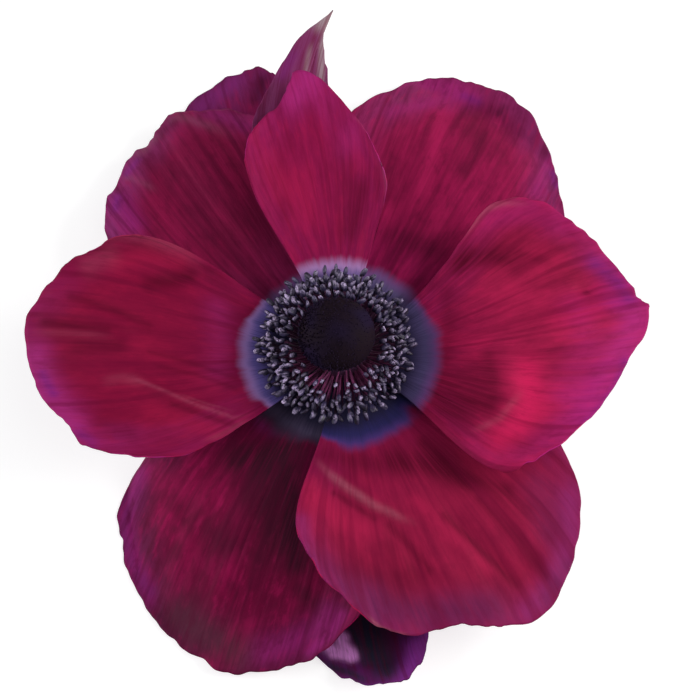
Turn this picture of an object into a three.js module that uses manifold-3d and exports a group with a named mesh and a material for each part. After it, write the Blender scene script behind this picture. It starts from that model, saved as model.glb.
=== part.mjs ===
// Anemone flower with a short cut stem, lying face up on a table.
// Ten petal-like tepals spread in five levels round a receptacle at the stem's top. The lowest
// four droop until they touch the table, so the flower rests on their low spots and on the
// stem's cut end. The receptacle carries a domed head of pistils inside a ring of stamens.
// Millimetres and degrees, +Z up. Azimuth 0 is +X and azimuth 90 is +Y. The finished model
// stands with the middle of its bounding box's base at the origin.
import * as THREE from 'three';
import { mergeVertices } from 'three/addons/utils/BufferGeometryUtils.js';
import Module from 'manifold-3d';

const wasm = await Module();
wasm.setup();

// Receptacle and cut stem
const STEM_RADIUS = 2.5;
const CUT_RADIUS = 2.7;
const CUT_FLARE_HEIGHT = 1.2;
const NECK_FLARE_HEIGHT = 2.0;
const RIM_CHAMFER = { inward: 0.5, down: 0.4 };
const RECEPTACLE_RADIUS = 3.3;
const RECEPTACLE_FOOT = 7.2;
const RECEPTACLE_TOP = 13.0;
const STEM_SIDES = 20;
const SEAT_GAP = 0.3;
const MERGE_DISTANCE = 1e-5;

// Petals: thickness of a blade and the claw by which it sits on the receptacle
const BLADE = 0.64;
const CLAW_HALF_WIDTH = 1.9;
const SEAT_RADIUS = RECEPTACLE_RADIUS + SEAT_GAP;
const TABLE_SOFTNESS = 0.2;
const TOUCH_HEIGHT = 0.12;
const CURL_START = 0.8;

// Stamens: a collar round the head's neck, thin filaments and plump anthers in three rings
const COLLAR = { bore: 2.4, radius: 4.9, shoulder: 4.2, rim: 14.5, top: 16.2 };
const FILAMENT = { radius: 0.27, thinning: 0.25, bendAt: 0.55, sag: 0.35, rings: 3, sides: 3 };
const ANTHER = {
  length: 1.6, radius: 0.46, footShare: 0.8, footAt: 0.55, widestAt: 0.3, sides: 5, beyondTip: 0.25,
};
const STAMEN_SPREAD = { place: 0.28, reach: 0.45, height: 0.4, rise: 22, sway: 0.5 };
const STAMEN_LEAN = -0.8;
const STAMEN_RINGS = [
  { count: 30, rootRadius: 4.0, rootHeight: 15.6, reach: 7.5, height: 18.7, rise: 48 },
  { count: 35, rootRadius: 4.3, rootHeight: 14.8, reach: 9.4, height: 17.4, rise: 38 },
  { count: 38, rootRadius: 4.4, rootHeight: 14.0, reach: 11.2, height: 15.8, rise: 18 },
];

// Head of pistils: a dome on a neck that stands on the receptacle inside the collar
const HEAD = {
  neck: 2.1, rim: 4.2, underside: 16.5, radius: 5.55, waist: 19.4, top: 24.0, lean: -0.35,
};
const HEAD_KNOB = 0.3;
const HEAD_SIDES = 30;
const HEAD_ROWS = 11;
const HEAD_LATITUDES = { lowest: -35, highest: 82 };

// Petals from the lowest to the topmost. Left and right are the half-widths seen when looking
// outward from the middle, and heights are those of the midrib at its start, thirds and tip.
// shoulder is where the widest part lies along the length, roundness the exponent of the
// rounded tip, flare how fast the claw widens, and bend the sideways sweep of the tip. A cup
// lifts its margin. Each lobe of the margin has an amplitude as a share of the size, a count
// and a phase in radians.
const PETALS = [
  {
    name: 'petal_rear_curled', colour: 'wine', rows: 10, columns: 12,
    azimuth: 277.9, length: 44.0, left: 7.0, right: 11.5,
    shoulder: 0.74, roundness: 1.86, flare: 0.9, bend: -1.5, bendPower: 2,
    heights: [8.0, 5.2, 0.4, -1.6], cupLeft: 7.5, cupRight: 0.8, cupGrowth: 4,
    tipCurl: 6.5, ripple: { height: 0, count: 1, phase: 0 }, lobes: [],
  },
  {
    name: 'petal_rear_upper_left', colour: 'wine', rows: 10, columns: 12,
    azimuth: 109.6, length: 50.5, left: 15.7, right: 9.1,
    shoulder: 0.67, roundness: 2.26, flare: 0.8, bend: 2.7, bendPower: 2,
    heights: [8.0, 6.4, 2.8, -2.6], cupLeft: 0.5, cupRight: 0, cupGrowth: 1,
    tipCurl: 0, ripple: { height: 0.4, count: 2, phase: 0.6 }, lobes: [[0.008, 2.5, 0.4]],
  },
  {
    name: 'petal_back_upper_left', colour: 'wine', rows: 10, columns: 14,
    azimuth: 130.1, length: 46.4, left: 17.2, right: 15.3,
    shoulder: 0.64, roundness: 1.6, flare: 0.8, bend: 5.3, bendPower: 2,
    heights: [9.0, 8.8, 7.4, 3.4], cupLeft: -0.8, cupRight: -0.3, cupGrowth: 1,
    tipCurl: 0, ripple: { height: 0.7, count: 2.6, phase: 0.5 },
    lobes: [[0.022, 1.5, -1.6], [0.008, 3, 0.1], [0.009, 5, 0]],
  },
  {
    name: 'petal_back_lower_left', colour: 'wine', rows: 10, columns: 14,
    azimuth: 244.2, length: 43.3, left: 18.1, right: 21.9,
    shoulder: 0.64, roundness: 1.78, flare: 0.72, bend: -2.8, bendPower: 2,
    heights: [10.0, 9.2, 5.4, 0.8], cupLeft: 3.4, cupRight: -8.0, cupGrowth: 1,
    tipCurl: 0, ripple: { height: 0.6, count: 2.4, phase: 2.4 },
    lobes: [[0.011, 1.5, 1.5], [0.003, 3, 2.5]],
  },
  {
    name: 'petal_back_upper_right', colour: 'wine', rows: 10, columns: 14,
    azimuth: 56.0, length: 50.8, left: 18.0, right: 20.1,
    shoulder: 0.58, roundness: 1.79, flare: 0.8, bend: -7.9, bendPower: 2,
    heights: [10.0, 9.8, 6.4, -4.2], cupLeft: 0.4, cupRight: -0.4, cupGrowth: 1,
    tipCurl: 0, ripple: { height: 0.6, count: 2.2, phase: 1.0 },
    lobes: [[0.012, 1.5, 0.2], [0.009, 3, -1.0]],
  },
  {
    name: 'petal_middle_pointed', colour: 'crimson', rows: 10, columns: 10,
    azimuth: 103.5, length: 48.8, left: 7.5, right: 4.4,
    shoulder: 0.72, roundness: 1.22, flare: 1.0, bend: 10.7, bendPower: 3.5,
    heights: [11.0, 11.6, 12.6, 17.0], cupLeft: 0.3, cupRight: 0.3, cupGrowth: 1,
    tipCurl: 0, ripple: { height: 0, count: 1, phase: 0 }, lobes: [],
  },
  {
    name: 'petal_middle_lower_right', colour: 'crimson', rows: 10, columns: 16,
    azimuth: 303.1, length: 44.7, left: 20.3, right: 19.2,
    shoulder: 0.38, roundness: 1.83, flare: 1.29, bend: 2.3, bendPower: 2,
    heights: [11.0, 12.0, 11.6, 8.0], cupLeft: -0.5, cupRight: 3.0, cupGrowth: 1,
    tipCurl: 0, ripple: { height: 0.8, count: 2.5, phase: 0.2 },
    lobes: [[0.074, 1.5, -2.3], [0.012, 3, 2.3], [0.003, 5, 0.1]],
  },
  {
    name: 'petal_front_top', colour: 'crimson', rows: 10, columns: 12,
    azimuth: 93.6, length: 39.8, left: 10.5, right: 10.2,
    shoulder: 0.61, roundness: 1.35, flare: 1.53, bend: -4.3, bendPower: 2,
    heights: [12.0, 14.2, 16.2, 16.6], cupLeft: 1.6, cupRight: 1.2, cupGrowth: 1,
    tipCurl: 0, ripple: { height: 0.3, count: 2, phase: 0.5 }, lobes: [[0.043, 1.5, 0]],
  },
  {
    name: 'petal_front_right', colour: 'crimson', rows: 10, columns: 16,
    azimuth: -0.5, length: 41.4, left: 19.7, right: 21.7,
    shoulder: 0.52, roundness: 1.44, flare: 1.51, bend: -8.0, bendPower: 2,
    heights: [12.0, 14.0, 14.8, 11.5], cupLeft: 2.2, cupRight: 2.6, cupGrowth: 1,
    tipCurl: 0, ripple: { height: 0.9, count: 2.6, phase: 1.2 },
    lobes: [[0.023, 1.5, -0.3], [0.006, 3, 0.3], [0.003, 5, -0.3]],
  },
  {
    name: 'petal_front_left', colour: 'crimson', rows: 10, columns: 16,
    azimuth: 182.8, length: 40.1, left: 17.7, right: 16.6,
    shoulder: 0.62, roundness: 2.48, flare: 1.09, bend: 3.5, bendPower: 2,
    heights: [12.0, 13.8, 14.4, 12.0], cupLeft: 2.4, cupRight: 2.0, cupGrowth: 1,
    tipCurl: 0, ripple: { height: 0.9, count: 2.8, phase: -0.6 },
    lobes: [[0.031, 1.5, 1.6], [0.012, 3, 1.4], [0.008, 5, -0.2]],
  },
];

const materials = {
  crimson: new THREE.MeshStandardMaterial({ color: 0xa3123f, roughness: 0.7, metalness: 0 }),
  wine: new THREE.MeshStandardMaterial({ color: 0x6f0f3a, roughness: 0.75, metalness: 0 }),
  anther: new THREE.MeshStandardMaterial({ color: 0x2a2540, roughness: 0.55, metalness: 0 }),
  pistil: new THREE.MeshStandardMaterial({ color: 0x17101d, roughness: 0.9, metalness: 0 }),
  stem: new THREE.MeshStandardMaterial({ color: 0x5d6b3c, roughness: 0.8, metalness: 0 }),
};

// Repeatable jitter between -1 and 1 for the given item and purpose.
function jitter(item, purpose) {
  const wide = Math.sin(item * 12.9898 + purpose * 78.233) * 43758.5453;
  return 2 * (wide - Math.floor(wide)) - 1;
}

// The cubic that passes through four heights at 0, 1/3, 2/3 and 1.
function alongHeights(heights, q) {
  const [start, third, twoThirds, end] = heights;
  return start * (1 - 3 * q) * (1 - 1.5 * q) * (1 - q)
    + third * 9 * q * (1 - 1.5 * q) * (1 - q)
    - twoThirds * 4.5 * q * (1 - 3 * q) * (1 - q)
    + end * q * (1 - 3 * q) * (1 - 1.5 * q);
}

// A height that never goes below half a blade, so that the underside stays on the table.
function aboveTable(height) {
  const low = BLADE / 2;
  const over = (height - low) / TABLE_SOFTNESS;
  return low + TABLE_SOFTNESS * (Math.max(over, 0) + Math.log1p(Math.exp(-Math.abs(over))));
}

// A point of a petal's middle surface. s runs from the claw, 0, to the margin of the tip, 1,
// and t from the left margin, -1, to the right one, 1.
function petalPoint(petal, s, t) {
  const angle = Math.abs(t) * Math.PI / 2;
  const across = Math.sin(angle) ** (2 / petal.roundness);
  const outward = Math.max(Math.cos(angle), 0) ** (2 / petal.roundness);
  const side = t < 0 ? petal.left : petal.right;
  const width = CLAW_HALF_WIDTH
    + (side - CLAW_HALF_WIDTH) * Math.sin(Math.PI / 2 * s ** petal.flare);
  const shoulder = petal.length * petal.shoulder * s;
  let wave = 0;
  for (const [amplitude, count, phase] of petal.lobes) {
    wave += amplitude * Math.sin(Math.PI * count * t + phase);
  }
  wave *= s ** 3;
  const along = (shoulder + (petal.length * s - shoulder) * outward) * (1 + wave);
  const x = Math.sign(t) * width * across * (1 + wave);
  const q = along / petal.length;

  const inset = Math.min(Math.abs(x), SEAT_RADIUS);
  const seat = Math.sqrt(SEAT_RADIUS ** 2 - inset ** 2);
  const out = along + SEAT_RADIUS + (seat - SEAT_RADIUS) * (1 - s) ** 4;
  const sideways = x + petal.bend * q ** petal.bendPower;

  const cup = t < 0 ? petal.cupLeft : petal.cupRight;
  const ripple = petal.ripple;
  let height = alongHeights(petal.heights, q);
  height += cup * (Math.abs(x) / side) ** 2 * s ** petal.cupGrowth;
  height += petal.tipCurl * Math.max(0, (q - CURL_START) / (1 - CURL_START)) ** 2;
  height += ripple.height * s ** 2 * Math.sin(Math.PI * ripple.count * t + ripple.phase);

  const azimuth = THREE.MathUtils.degToRad(petal.azimuth);
  return new THREE.Vector3(
    out * Math.cos(azimuth) + sideways * Math.sin(azimuth),
    out * Math.sin(azimuth) - sideways * Math.cos(azimuth),
    aboveTable(height),
  );
}

// Splits every cell of a grid of (rows + 1) x (columns + 1) points, with its diagonals
// mirrored about the middle column.
function gridCells(rows, columns) {
  const stride = columns + 1;
  const cells = [];
  for (let row = 0; row < rows; row += 1) {
    for (let column = 0; column < columns; column += 1) {
      const near = row * stride + column;
      const far = near + stride;
      if (column < columns / 2) {
        cells.push([near, near + 1, far + 1], [near, far + 1, far]);
      } else {
        cells.push([near, near + 1, far], [near + 1, far + 1, far]);
      }
    }
  }
  return cells;
}

// The grid's border as one loop of indices, counterclockwise seen from above.
function gridBorder(rows, columns) {
  const stride = columns + 1;
  const loop = [];
  for (let column = 0; column < columns; column += 1) loop.push(column);
  for (let row = 0; row < rows; row += 1) loop.push(row * stride + columns);
  for (let column = columns; column > 0; column -= 1) loop.push(rows * stride + column);
  for (let row = rows; row > 0; row -= 1) loop.push(row * stride);
  return loop;
}

// A petal as a closed blade: its middle surface moved half a thickness to each side, with both
// faces split alike. What would reach below the table lies flat on it.
function petalGeometry(petal) {
  const { rows, columns } = petal;
  const middle = [];
  for (let row = 0; row <= rows; row += 1) {
    for (let column = 0; column <= columns; column += 1) {
      middle.push(petalPoint(petal, row / rows, 2 * column / columns - 1));
    }
  }
  const cells = gridCells(rows, columns);
  const sheet = new THREE.BufferGeometry().setFromPoints(middle);
  sheet.setIndex(cells.flat());
  sheet.computeVertexNormals();
  const normal = sheet.getAttribute('normal');

  const upper = [];
  const lower = [];
  middle.forEach((point, index) => {
    const offset = new THREE.Vector3().fromBufferAttribute(normal, index);
    offset.multiplyScalar(BLADE / 2);
    upper.push(point.clone().add(offset));
    const under = point.clone().sub(offset);
    if (under.z < TOUCH_HEIGHT) under.z = 0;
    lower.push(under);
  });

  const count = middle.length;
  const index = [];
  for (const [a, b, c] of cells) {
    index.push(a, b, c, count + a, count + c, count + b);
  }
  const loop = gridBorder(rows, columns);
  loop.forEach((a, step) => {
    const b = loop[(step + 1) % loop.length];
    index.push(a, count + a, b, b, count + a, count + b);
  });
  const blade = new THREE.BufferGeometry().setFromPoints([...upper, ...lower]);
  blade.setIndex(index);
  return blade;
}

// A geometry with only merged positions left, as a solid that can be joined to others.
function toSolid(geometry) {
  const bare = geometry.clone();
  bare.deleteAttribute('normal');
  bare.deleteAttribute('uv');
  const merged = mergeVertices(bare, MERGE_DISTANCE);
  return new wasm.Manifold(new wasm.Mesh({
    numProp: 3,
    vertProperties: new Float32Array(merged.getAttribute('position').array),
    triVerts: new Uint32Array(merged.index.array),
  }));
}

function fromSolid(solid) {
  const mesh = solid.getMesh();
  const geometry = new THREE.BufferGeometry();
  geometry.setAttribute('position', new THREE.BufferAttribute(mesh.vertProperties, 3));
  geometry.setIndex(new THREE.BufferAttribute(mesh.triVerts, 1));
  return geometry;
}

// Turns a profile of [radius, height] pairs about +Z.
function turned(profile, sides) {
  const points = profile.map(([radius, height]) => new THREE.Vector2(radius, height));
  return new THREE.LatheGeometry(points, sides).rotateX(Math.PI / 2);
}

// The stub of stem with its flat cut end, widening to the receptacle on which the claws sit.
function stemGeometry() {
  return turned([
    [0, 0],
    [CUT_RADIUS, 0],
    [STEM_RADIUS, CUT_FLARE_HEIGHT],
    [STEM_RADIUS, RECEPTACLE_FOOT - NECK_FLARE_HEIGHT],
    [RECEPTACLE_RADIUS, RECEPTACLE_FOOT],
    [RECEPTACLE_RADIUS, RECEPTACLE_TOP - RIM_CHAMFER.down],
    [RECEPTACLE_RADIUS - RIM_CHAMFER.inward, RECEPTACLE_TOP],
    [0, RECEPTACLE_TOP],
  ], STEM_SIDES);
}

// One filament: a three-sided taper from its root in the collar up to its anther.
function filamentGeometry(root, bend, tip) {
  const points = [];
  const axis = new THREE.QuadraticBezierCurve3(root, bend, tip);
  const { rings, sides } = FILAMENT;
  const side = new THREE.Vector3(-root.y, root.x, 0).normalize();
  for (let ring = 0; ring < rings; ring += 1) {
    const u = ring / (rings - 1);
    const centre = axis.getPoint(u);
    const up = new THREE.Vector3().crossVectors(axis.getTangent(u), side).normalize();
    const radius = FILAMENT.radius * (1 - FILAMENT.thinning * u);
    for (let corner = 0; corner < sides; corner += 1) {
      const turn = corner * 2 * Math.PI / sides;
      points.push(centre.clone()
        .addScaledVector(side, radius * Math.cos(turn))
        .addScaledVector(up, radius * Math.sin(turn)));
    }
  }
  const index = [0, 2, 1];
  for (let ring = 0; ring < rings - 1; ring += 1) {
    for (let corner = 0; corner < sides; corner += 1) {
      const a = ring * sides + corner;
      const b = ring * sides + (corner + 1) % sides;
      index.push(a, b, a + sides, b, b + sides, a + sides);
    }
  }
  const last = (rings - 1) * sides;
  index.push(last, last + 1, last + 2);
  const geometry = new THREE.BufferGeometry().setFromPoints(points);
  geometry.setIndex(index);
  return geometry;
}

// One anther: a plump five-sided grain along the given direction.
function antherGeometry(centre, direction) {
  const half = ANTHER.length / 2;
  const grain = turned([
    [0, -half],
    [ANTHER.radius * ANTHER.footShare, -half * ANTHER.footAt],
    [ANTHER.radius, half * ANTHER.widestAt],
    [0, half],
  ], ANTHER.sides);
  const turn = new THREE.Quaternion().setFromUnitVectors(new THREE.Vector3(0, 0, 1), direction);
  return grain.applyQuaternion(turn).translate(centre.x, centre.y, centre.z);
}

// The collar with every filament and anther joined to it, as one solid.
function stamensGeometry() {
  const foot = RECEPTACLE_TOP + SEAT_GAP;
  let solid = toSolid(turned([
    [COLLAR.bore, foot],
    [COLLAR.radius, foot],
    [COLLAR.radius, COLLAR.rim],
    [COLLAR.shoulder, COLLAR.top],
    [COLLAR.bore, COLLAR.top],
    [COLLAR.bore, foot],
  ], STEM_SIDES));
  const spread = STAMEN_SPREAD;
  let item = 0;
  for (const ring of STAMEN_RINGS) {
    for (let place = 0; place < ring.count; place += 1) {
      item += 1;
      const azimuth = 2 * Math.PI * (place + 0.5 + spread.place * jitter(item, 1)) / ring.count;
      const radial = new THREE.Vector3(Math.cos(azimuth), Math.sin(azimuth), 0);
      const root = radial.clone().multiplyScalar(ring.rootRadius);
      root.z = ring.rootHeight;
      const tip = radial.clone().multiplyScalar(ring.reach + spread.reach * jitter(item, 2));
      tip.x += STAMEN_LEAN;
      tip.z = ring.height + spread.height * jitter(item, 3);
      const bend = root.clone().lerp(tip, FILAMENT.bendAt);
      bend.z -= FILAMENT.sag;
      solid = solid.add(toSolid(filamentGeometry(root, bend, tip)));

      const rise = THREE.MathUtils.degToRad(ring.rise + spread.rise * jitter(item, 4));
      const sway = spread.sway * jitter(item, 5);
      const direction = new THREE.Vector3(
        radial.x - sway * radial.y,
        radial.y + sway * radial.x,
        Math.tan(rise),
      ).normalize();
      const centre = tip.clone().addScaledVector(direction, ANTHER.beyondTip);
      solid = solid.add(toSolid(antherGeometry(centre, direction)));
    }
  }
  return fromSolid(solid);
}

// The rings of the head from the neck's foot upward. Those of the dome are knobbed.
function headRings() {
  const foot = RECEPTACLE_TOP + SEAT_GAP;
  const rings = [
    { radius: HEAD.neck, height: foot, knob: 0, lean: 0 },
    { radius: HEAD.neck, height: HEAD.underside, knob: 0, lean: 0 },
    { radius: HEAD.rim, height: HEAD.underside, knob: 0, lean: 0 },
  ];
  const { lowest, highest } = HEAD_LATITUDES;
  for (let row = 0; row < HEAD_ROWS; row += 1) {
    const share = row / (HEAD_ROWS - 1);
    const latitude = THREE.MathUtils.degToRad(lowest + (highest - lowest) * share);
    const tall = latitude < 0 ? HEAD.waist - HEAD.underside : HEAD.top - HEAD.waist;
    rings.push({
      radius: HEAD.radius * Math.cos(latitude),
      height: HEAD.waist + tall * Math.sin(latitude),
      knob: HEAD_KNOB,
      lean: HEAD.lean,
    });
  }
  return rings;
}

// The dome of pistils on its neck. Every other point of the dome is raised, for the tips of
// the styles.
function headGeometry() {
  const rings = headRings();
  const points = [new THREE.Vector3(0, 0, rings[0].height)];
  rings.forEach((ring, row) => {
    for (let place = 0; place < HEAD_SIDES; place += 1) {
      const azimuth = 2 * Math.PI * place / HEAD_SIDES;
      const outward = new THREE.Vector3(
        Math.cos(azimuth) * ring.radius,
        Math.sin(azimuth) * ring.radius,
        ring.height - HEAD.waist,
      );
      const raised = (row + place) % 2 === 0 ? ring.knob : 0;
      outward.setLength(outward.length() + raised);
      points.push(new THREE.Vector3(outward.x + ring.lean, outward.y, HEAD.waist + outward.z));
    }
  });
  points.push(new THREE.Vector3(HEAD.lean, 0, HEAD.top));

  const index = [];
  const at = (row, place) => 1 + row * HEAD_SIDES + place % HEAD_SIDES;
  const last = rings.length - 1;
  for (let place = 0; place < HEAD_SIDES; place += 1) {
    index.push(0, at(0, place + 1), at(0, place));
    for (let row = 0; row < last; row += 1) {
      const a = at(row, place);
      const b = at(row, place + 1);
      const c = at(row + 1, place + 1);
      const d = at(row + 1, place);
      if ((row + place) % 2 === 0) {
        index.push(a, b, d, b, c, d);
      } else {
        index.push(a, b, c, a, c, d);
      }
    }
    index.push(at(last, place), at(last, place + 1), points.length - 1);
  }
  const geometry = new THREE.BufferGeometry().setFromPoints(points);
  geometry.setIndex(index);
  return geometry;
}

function addPiece(parent, name, geometry, material) {
  const mesh = new THREE.Mesh(geometry, material);
  mesh.name = name;
  parent.add(mesh);
}

const flower = new THREE.Group();
addPiece(flower, 'stem', stemGeometry(), materials.stem);
for (const petal of PETALS) {
  addPiece(flower, petal.name, petalGeometry(petal), materials[petal.colour]);
}
addPiece(flower, 'stamens', stamensGeometry(), materials.anther);
addPiece(flower, 'pistil_head', headGeometry(), materials.pistil);

// The flower's own axis is moved so that the bounding box is centred on the origin.
const reach = new THREE.Box3().setFromObject(flower, true);
const centre = reach.getCenter(new THREE.Vector3());
flower.position.set(-centre.x, -centre.y, -reach.min.z);

const part = new THREE.Group();
part.add(flower);
part.updateMatrixWorld(true);

export default part;
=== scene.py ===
"""Looks of an open anemone flower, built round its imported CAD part.

The flower lies face up. Its petals, stamens, pistil head and cut stem are finer pieces that keep
the form of the solids they replace. Sizes in the classes are millimetres and degrees, measured
from the flower's own axis, and the meshes are made in metres in the part's frame.
"""

import logging
import math
from collections.abc import Sequence
from dataclasses import dataclass, field, replace
from enum import Enum

import bmesh
import bpy
import numpy as np
from mathutils import Matrix, Quaternion, Vector
from mathutils.kdtree import KDTree

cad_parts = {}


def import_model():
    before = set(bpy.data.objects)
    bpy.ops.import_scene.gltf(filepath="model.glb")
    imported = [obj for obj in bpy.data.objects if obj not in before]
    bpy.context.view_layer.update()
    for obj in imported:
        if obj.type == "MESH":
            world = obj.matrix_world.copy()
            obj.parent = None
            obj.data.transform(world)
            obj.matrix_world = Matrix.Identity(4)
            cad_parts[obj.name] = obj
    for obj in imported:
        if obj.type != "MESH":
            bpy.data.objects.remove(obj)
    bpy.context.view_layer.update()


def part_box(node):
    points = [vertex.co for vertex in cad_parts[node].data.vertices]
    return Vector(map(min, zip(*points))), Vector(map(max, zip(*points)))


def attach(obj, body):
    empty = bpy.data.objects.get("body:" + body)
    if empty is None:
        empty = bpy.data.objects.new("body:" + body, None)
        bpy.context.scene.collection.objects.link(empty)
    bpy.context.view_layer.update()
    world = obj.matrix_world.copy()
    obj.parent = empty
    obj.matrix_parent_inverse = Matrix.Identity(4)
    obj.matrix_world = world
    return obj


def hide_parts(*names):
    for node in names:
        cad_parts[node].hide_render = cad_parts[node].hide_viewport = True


LOG = logging.getLogger("anemone")

MM = 0.001
BODY = "root"
PETAL_MAP = "petal_map"
CLAW_PART = 8
FROM_MARGIN = "from_margin"
INSIDE_HALO = "inside_halo"
TINGED = "tinged"
GRAIN_TINT = "grain_tint"
GOLDEN_ANGLE = math.pi * (3 - math.sqrt(5))
SEED_STEP = (7.3, 3.1, 1.0)
HASH_FIRST = 12.9898
HASH_SECOND = 78.233
HASH_SEED = 37.719
HASH_SPREAD = 43758.5453
MIX_INPUTS = (0, 6, 7)
MIX_RESULT = 2

Colour = tuple[float, float, float]
Point = tuple[float, float, float]
Plan = tuple[float, float]


class Slot(Enum):
    """The material slots."""

    CRIMSON = "petal_crimson"
    WINE = "petal_wine"
    ANTHER = "anther"
    PISTIL = "pistil"
    STEM = "stem"


class Skin(Enum):
    """The faces of a petal, as the order of its materials."""

    UPPER = 0
    LOWER = 1
    RIM = 2


class Tone(Enum):
    """What a mark does to a petal.

    The first five tint it, by the name of their stored strength. The shade marks paint shade in
    creases and the shadows of petals and stamens above, along with a petal's own darker patches.
    The glow marks paint light where a petal faces the lamps, along with brighter crimson. The pale
    marks paint highlights along ridges and rims, along with real pale colour. The last one isn't
    stored: it draws the halo back towards the claw.
    """

    SHADE = "tone_shade"
    GLOW = "tone_glow"
    MAGENTA = "tone_magenta"
    VIOLET = "tone_violet"
    PALE_AND_SHEEN = "tone_ash"
    BARE = "no_halo"


def smooth(share: np.ndarray) -> np.ndarray:
    """Ease a share between 0 and 1 at both its ends."""
    return share * share * (3 - 2 * share)


def eased(value: np.ndarray, low: float, high: float) -> np.ndarray:
    """Step smoothly from 0 at low to 1 at high."""
    return smooth(np.clip((value - low) / (high - low), 0, 1))


def hashed(column: np.ndarray, row: np.ndarray, seed: float) -> np.ndarray:
    """Give a repeatable number between -1 and 1 for each pair of whole numbers."""
    wide = np.sin(column * HASH_FIRST + row * HASH_SECOND + seed * HASH_SEED) * HASH_SPREAD
    return 2 * (wide - np.floor(wide)) - 1


def drift(across: np.ndarray, along: np.ndarray, seed: float) -> np.ndarray:
    """Give smooth repeatable noise between -1 and 1.

    Args:
        across: First coordinate, with one feature a unit.
        along: Second coordinate, with one feature a unit.
        seed: Which noise it is.

    Returns:
        The noise at each pair of coordinates.
    """
    column, row = np.floor(across), np.floor(along)
    u, v = smooth(across - column), smooth(along - row)
    near = hashed(column, row, seed) * (1 - u) + hashed(column + 1, row, seed) * u
    far = hashed(column, row + 1, seed) * (1 - u) + hashed(column + 1, row + 1, seed) * u
    return near * (1 - v) + far * v


def jitter(item: int, purpose: int) -> float:
    """Give the same repeatable number between -1 and 1 as the part's source does."""
    wide = math.sin(item * HASH_FIRST + purpose * HASH_SECOND) * HASH_SPREAD
    return 2 * (wide - math.floor(wide)) - 1


@dataclass
class Flower:
    """Where the flower's own axis stands in the part's frame."""

    axis: Vector

    @classmethod
    def from_frame(cls) -> "Flower":
        """Take the axis from the stem, which stands round it.

        Returns:
            The flower with its axis.
        """
        low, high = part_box("stem")
        middle = (low + high) / 2
        return cls(Vector((middle.x, middle.y, 0)))

    def settle(self, points: np.ndarray) -> np.ndarray:
        """Turn millimetres from the flower's axis into metres in the part's frame."""
        return points * MM + np.array(self.axis)


def linked(name: str, data: bpy.types.ID) -> bpy.types.Object:
    """Make an object of a mesh, a camera or a light and link it to the scene.

    Args:
        name: The object's name.
        data: What it shows.

    Returns:
        The object.
    """
    made = bpy.data.objects.new(name, data)
    bpy.context.scene.collection.objects.link(made)
    return made


def mesh_of(name: str, bm: bmesh.types.BMesh) -> bpy.types.Mesh:
    """Turn a bmesh into a mesh, and free the bmesh.

    Args:
        name: The mesh's name.
        bm: The shape.

    Returns:
        The mesh.
    """
    mesh = bpy.data.meshes.new(name)
    bm.to_mesh(mesh)
    bm.free()
    return mesh


def new_piece(name: str, bm: bmesh.types.BMesh) -> bpy.types.Object:
    """Turn a bmesh into a smooth piece at the origin, and free the bmesh.

    Args:
        name: The piece's name.
        bm: Its shape, in metres in the part's frame.

    Returns:
        The piece, linked to the scene.
    """
    mesh = mesh_of(name, bm)
    mesh.shade_smooth()
    return linked(name, mesh)


def place_piece(piece: bpy.types.Object, slot: Slot, *nodes: str) -> None:
    """Fix a piece to the flower and report it.

    Args:
        piece: The finished piece.
        slot: Not used.
        nodes: The CAD nodes it stands for.
    """
    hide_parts(*nodes)
    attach(piece, BODY)
    LOG.info("%s: %d faces, replaces %s", piece.name, len(piece.data.polygons), list(nodes))


def store_values(mesh: bpy.types.Mesh, name: str, values: np.ndarray) -> None:
    """Keep one number for each point of a mesh, for its material to read."""
    attribute = mesh.attributes.new(name, "FLOAT", "POINT")
    attribute.data.foreach_set("value", values.astype(np.float32))


def points_of(mesh: bpy.types.Mesh) -> np.ndarray:
    """Read the points of a mesh.

    Args:
        mesh: The mesh.

    Returns:
        Its points, as rows of x, y and z.
    """
    flat = np.empty(len(mesh.vertices) * 3)
    mesh.vertices.foreach_get("co", flat)
    return flat.reshape(-1, 3)


def gather(template: bpy.types.Mesh, shapes: Sequence[np.ndarray]) -> bmesh.types.BMesh:
    """Repeat a small mesh, each time with its own points, and remove it.

    Args:
        template: The mesh whose faces are repeated.
        shapes: The points of each repeat, in metres.

    Returns:
        One bmesh with every repeat.
    """
    bm = bmesh.new()
    for _ in shapes:
        bm.from_mesh(template)
    bpy.data.meshes.remove(template)
    every = np.concatenate(shapes)
    for vertex, place in zip(bm.verts, every):
        vertex.co = place
    bm.normal_update()
    return bm


def spike(segments: int, end_radius: float, cuts: int = 0) -> bmesh.types.BMesh:
    """Make a capped cone of unit radius and height that stands on the origin.

    Args:
        segments: How many sides it has.
        end_radius: Its radius at the top.
        cuts: How many times its sides are cut across.

    Returns:
        The cone, along Z.
    """
    bm = bmesh.new()
    bmesh.ops.create_cone(bm, segments=segments, radius1=1, radius2=end_radius, depth=1,
                          cap_ends=True)
    if cuts:
        sides = [edge for edge in bm.edges if edge.verts[0].co.z * edge.verts[1].co.z < 0]
        bmesh.ops.subdivide_edges(bm, edges=sides, cuts=cuts)
    bmesh.ops.translate(bm, vec=(0, 0, 0.5), verts=bm.verts)
    return bm


def turned_to(heading: Vector, twist: float = 0.0) -> np.ndarray:
    """Give the rotation that turns Z to a unit heading, after a twist about Z."""
    return np.array((heading.to_track_quat("Z", "Y") @ Quaternion((0, 0, 1), twist)).to_matrix())


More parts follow.
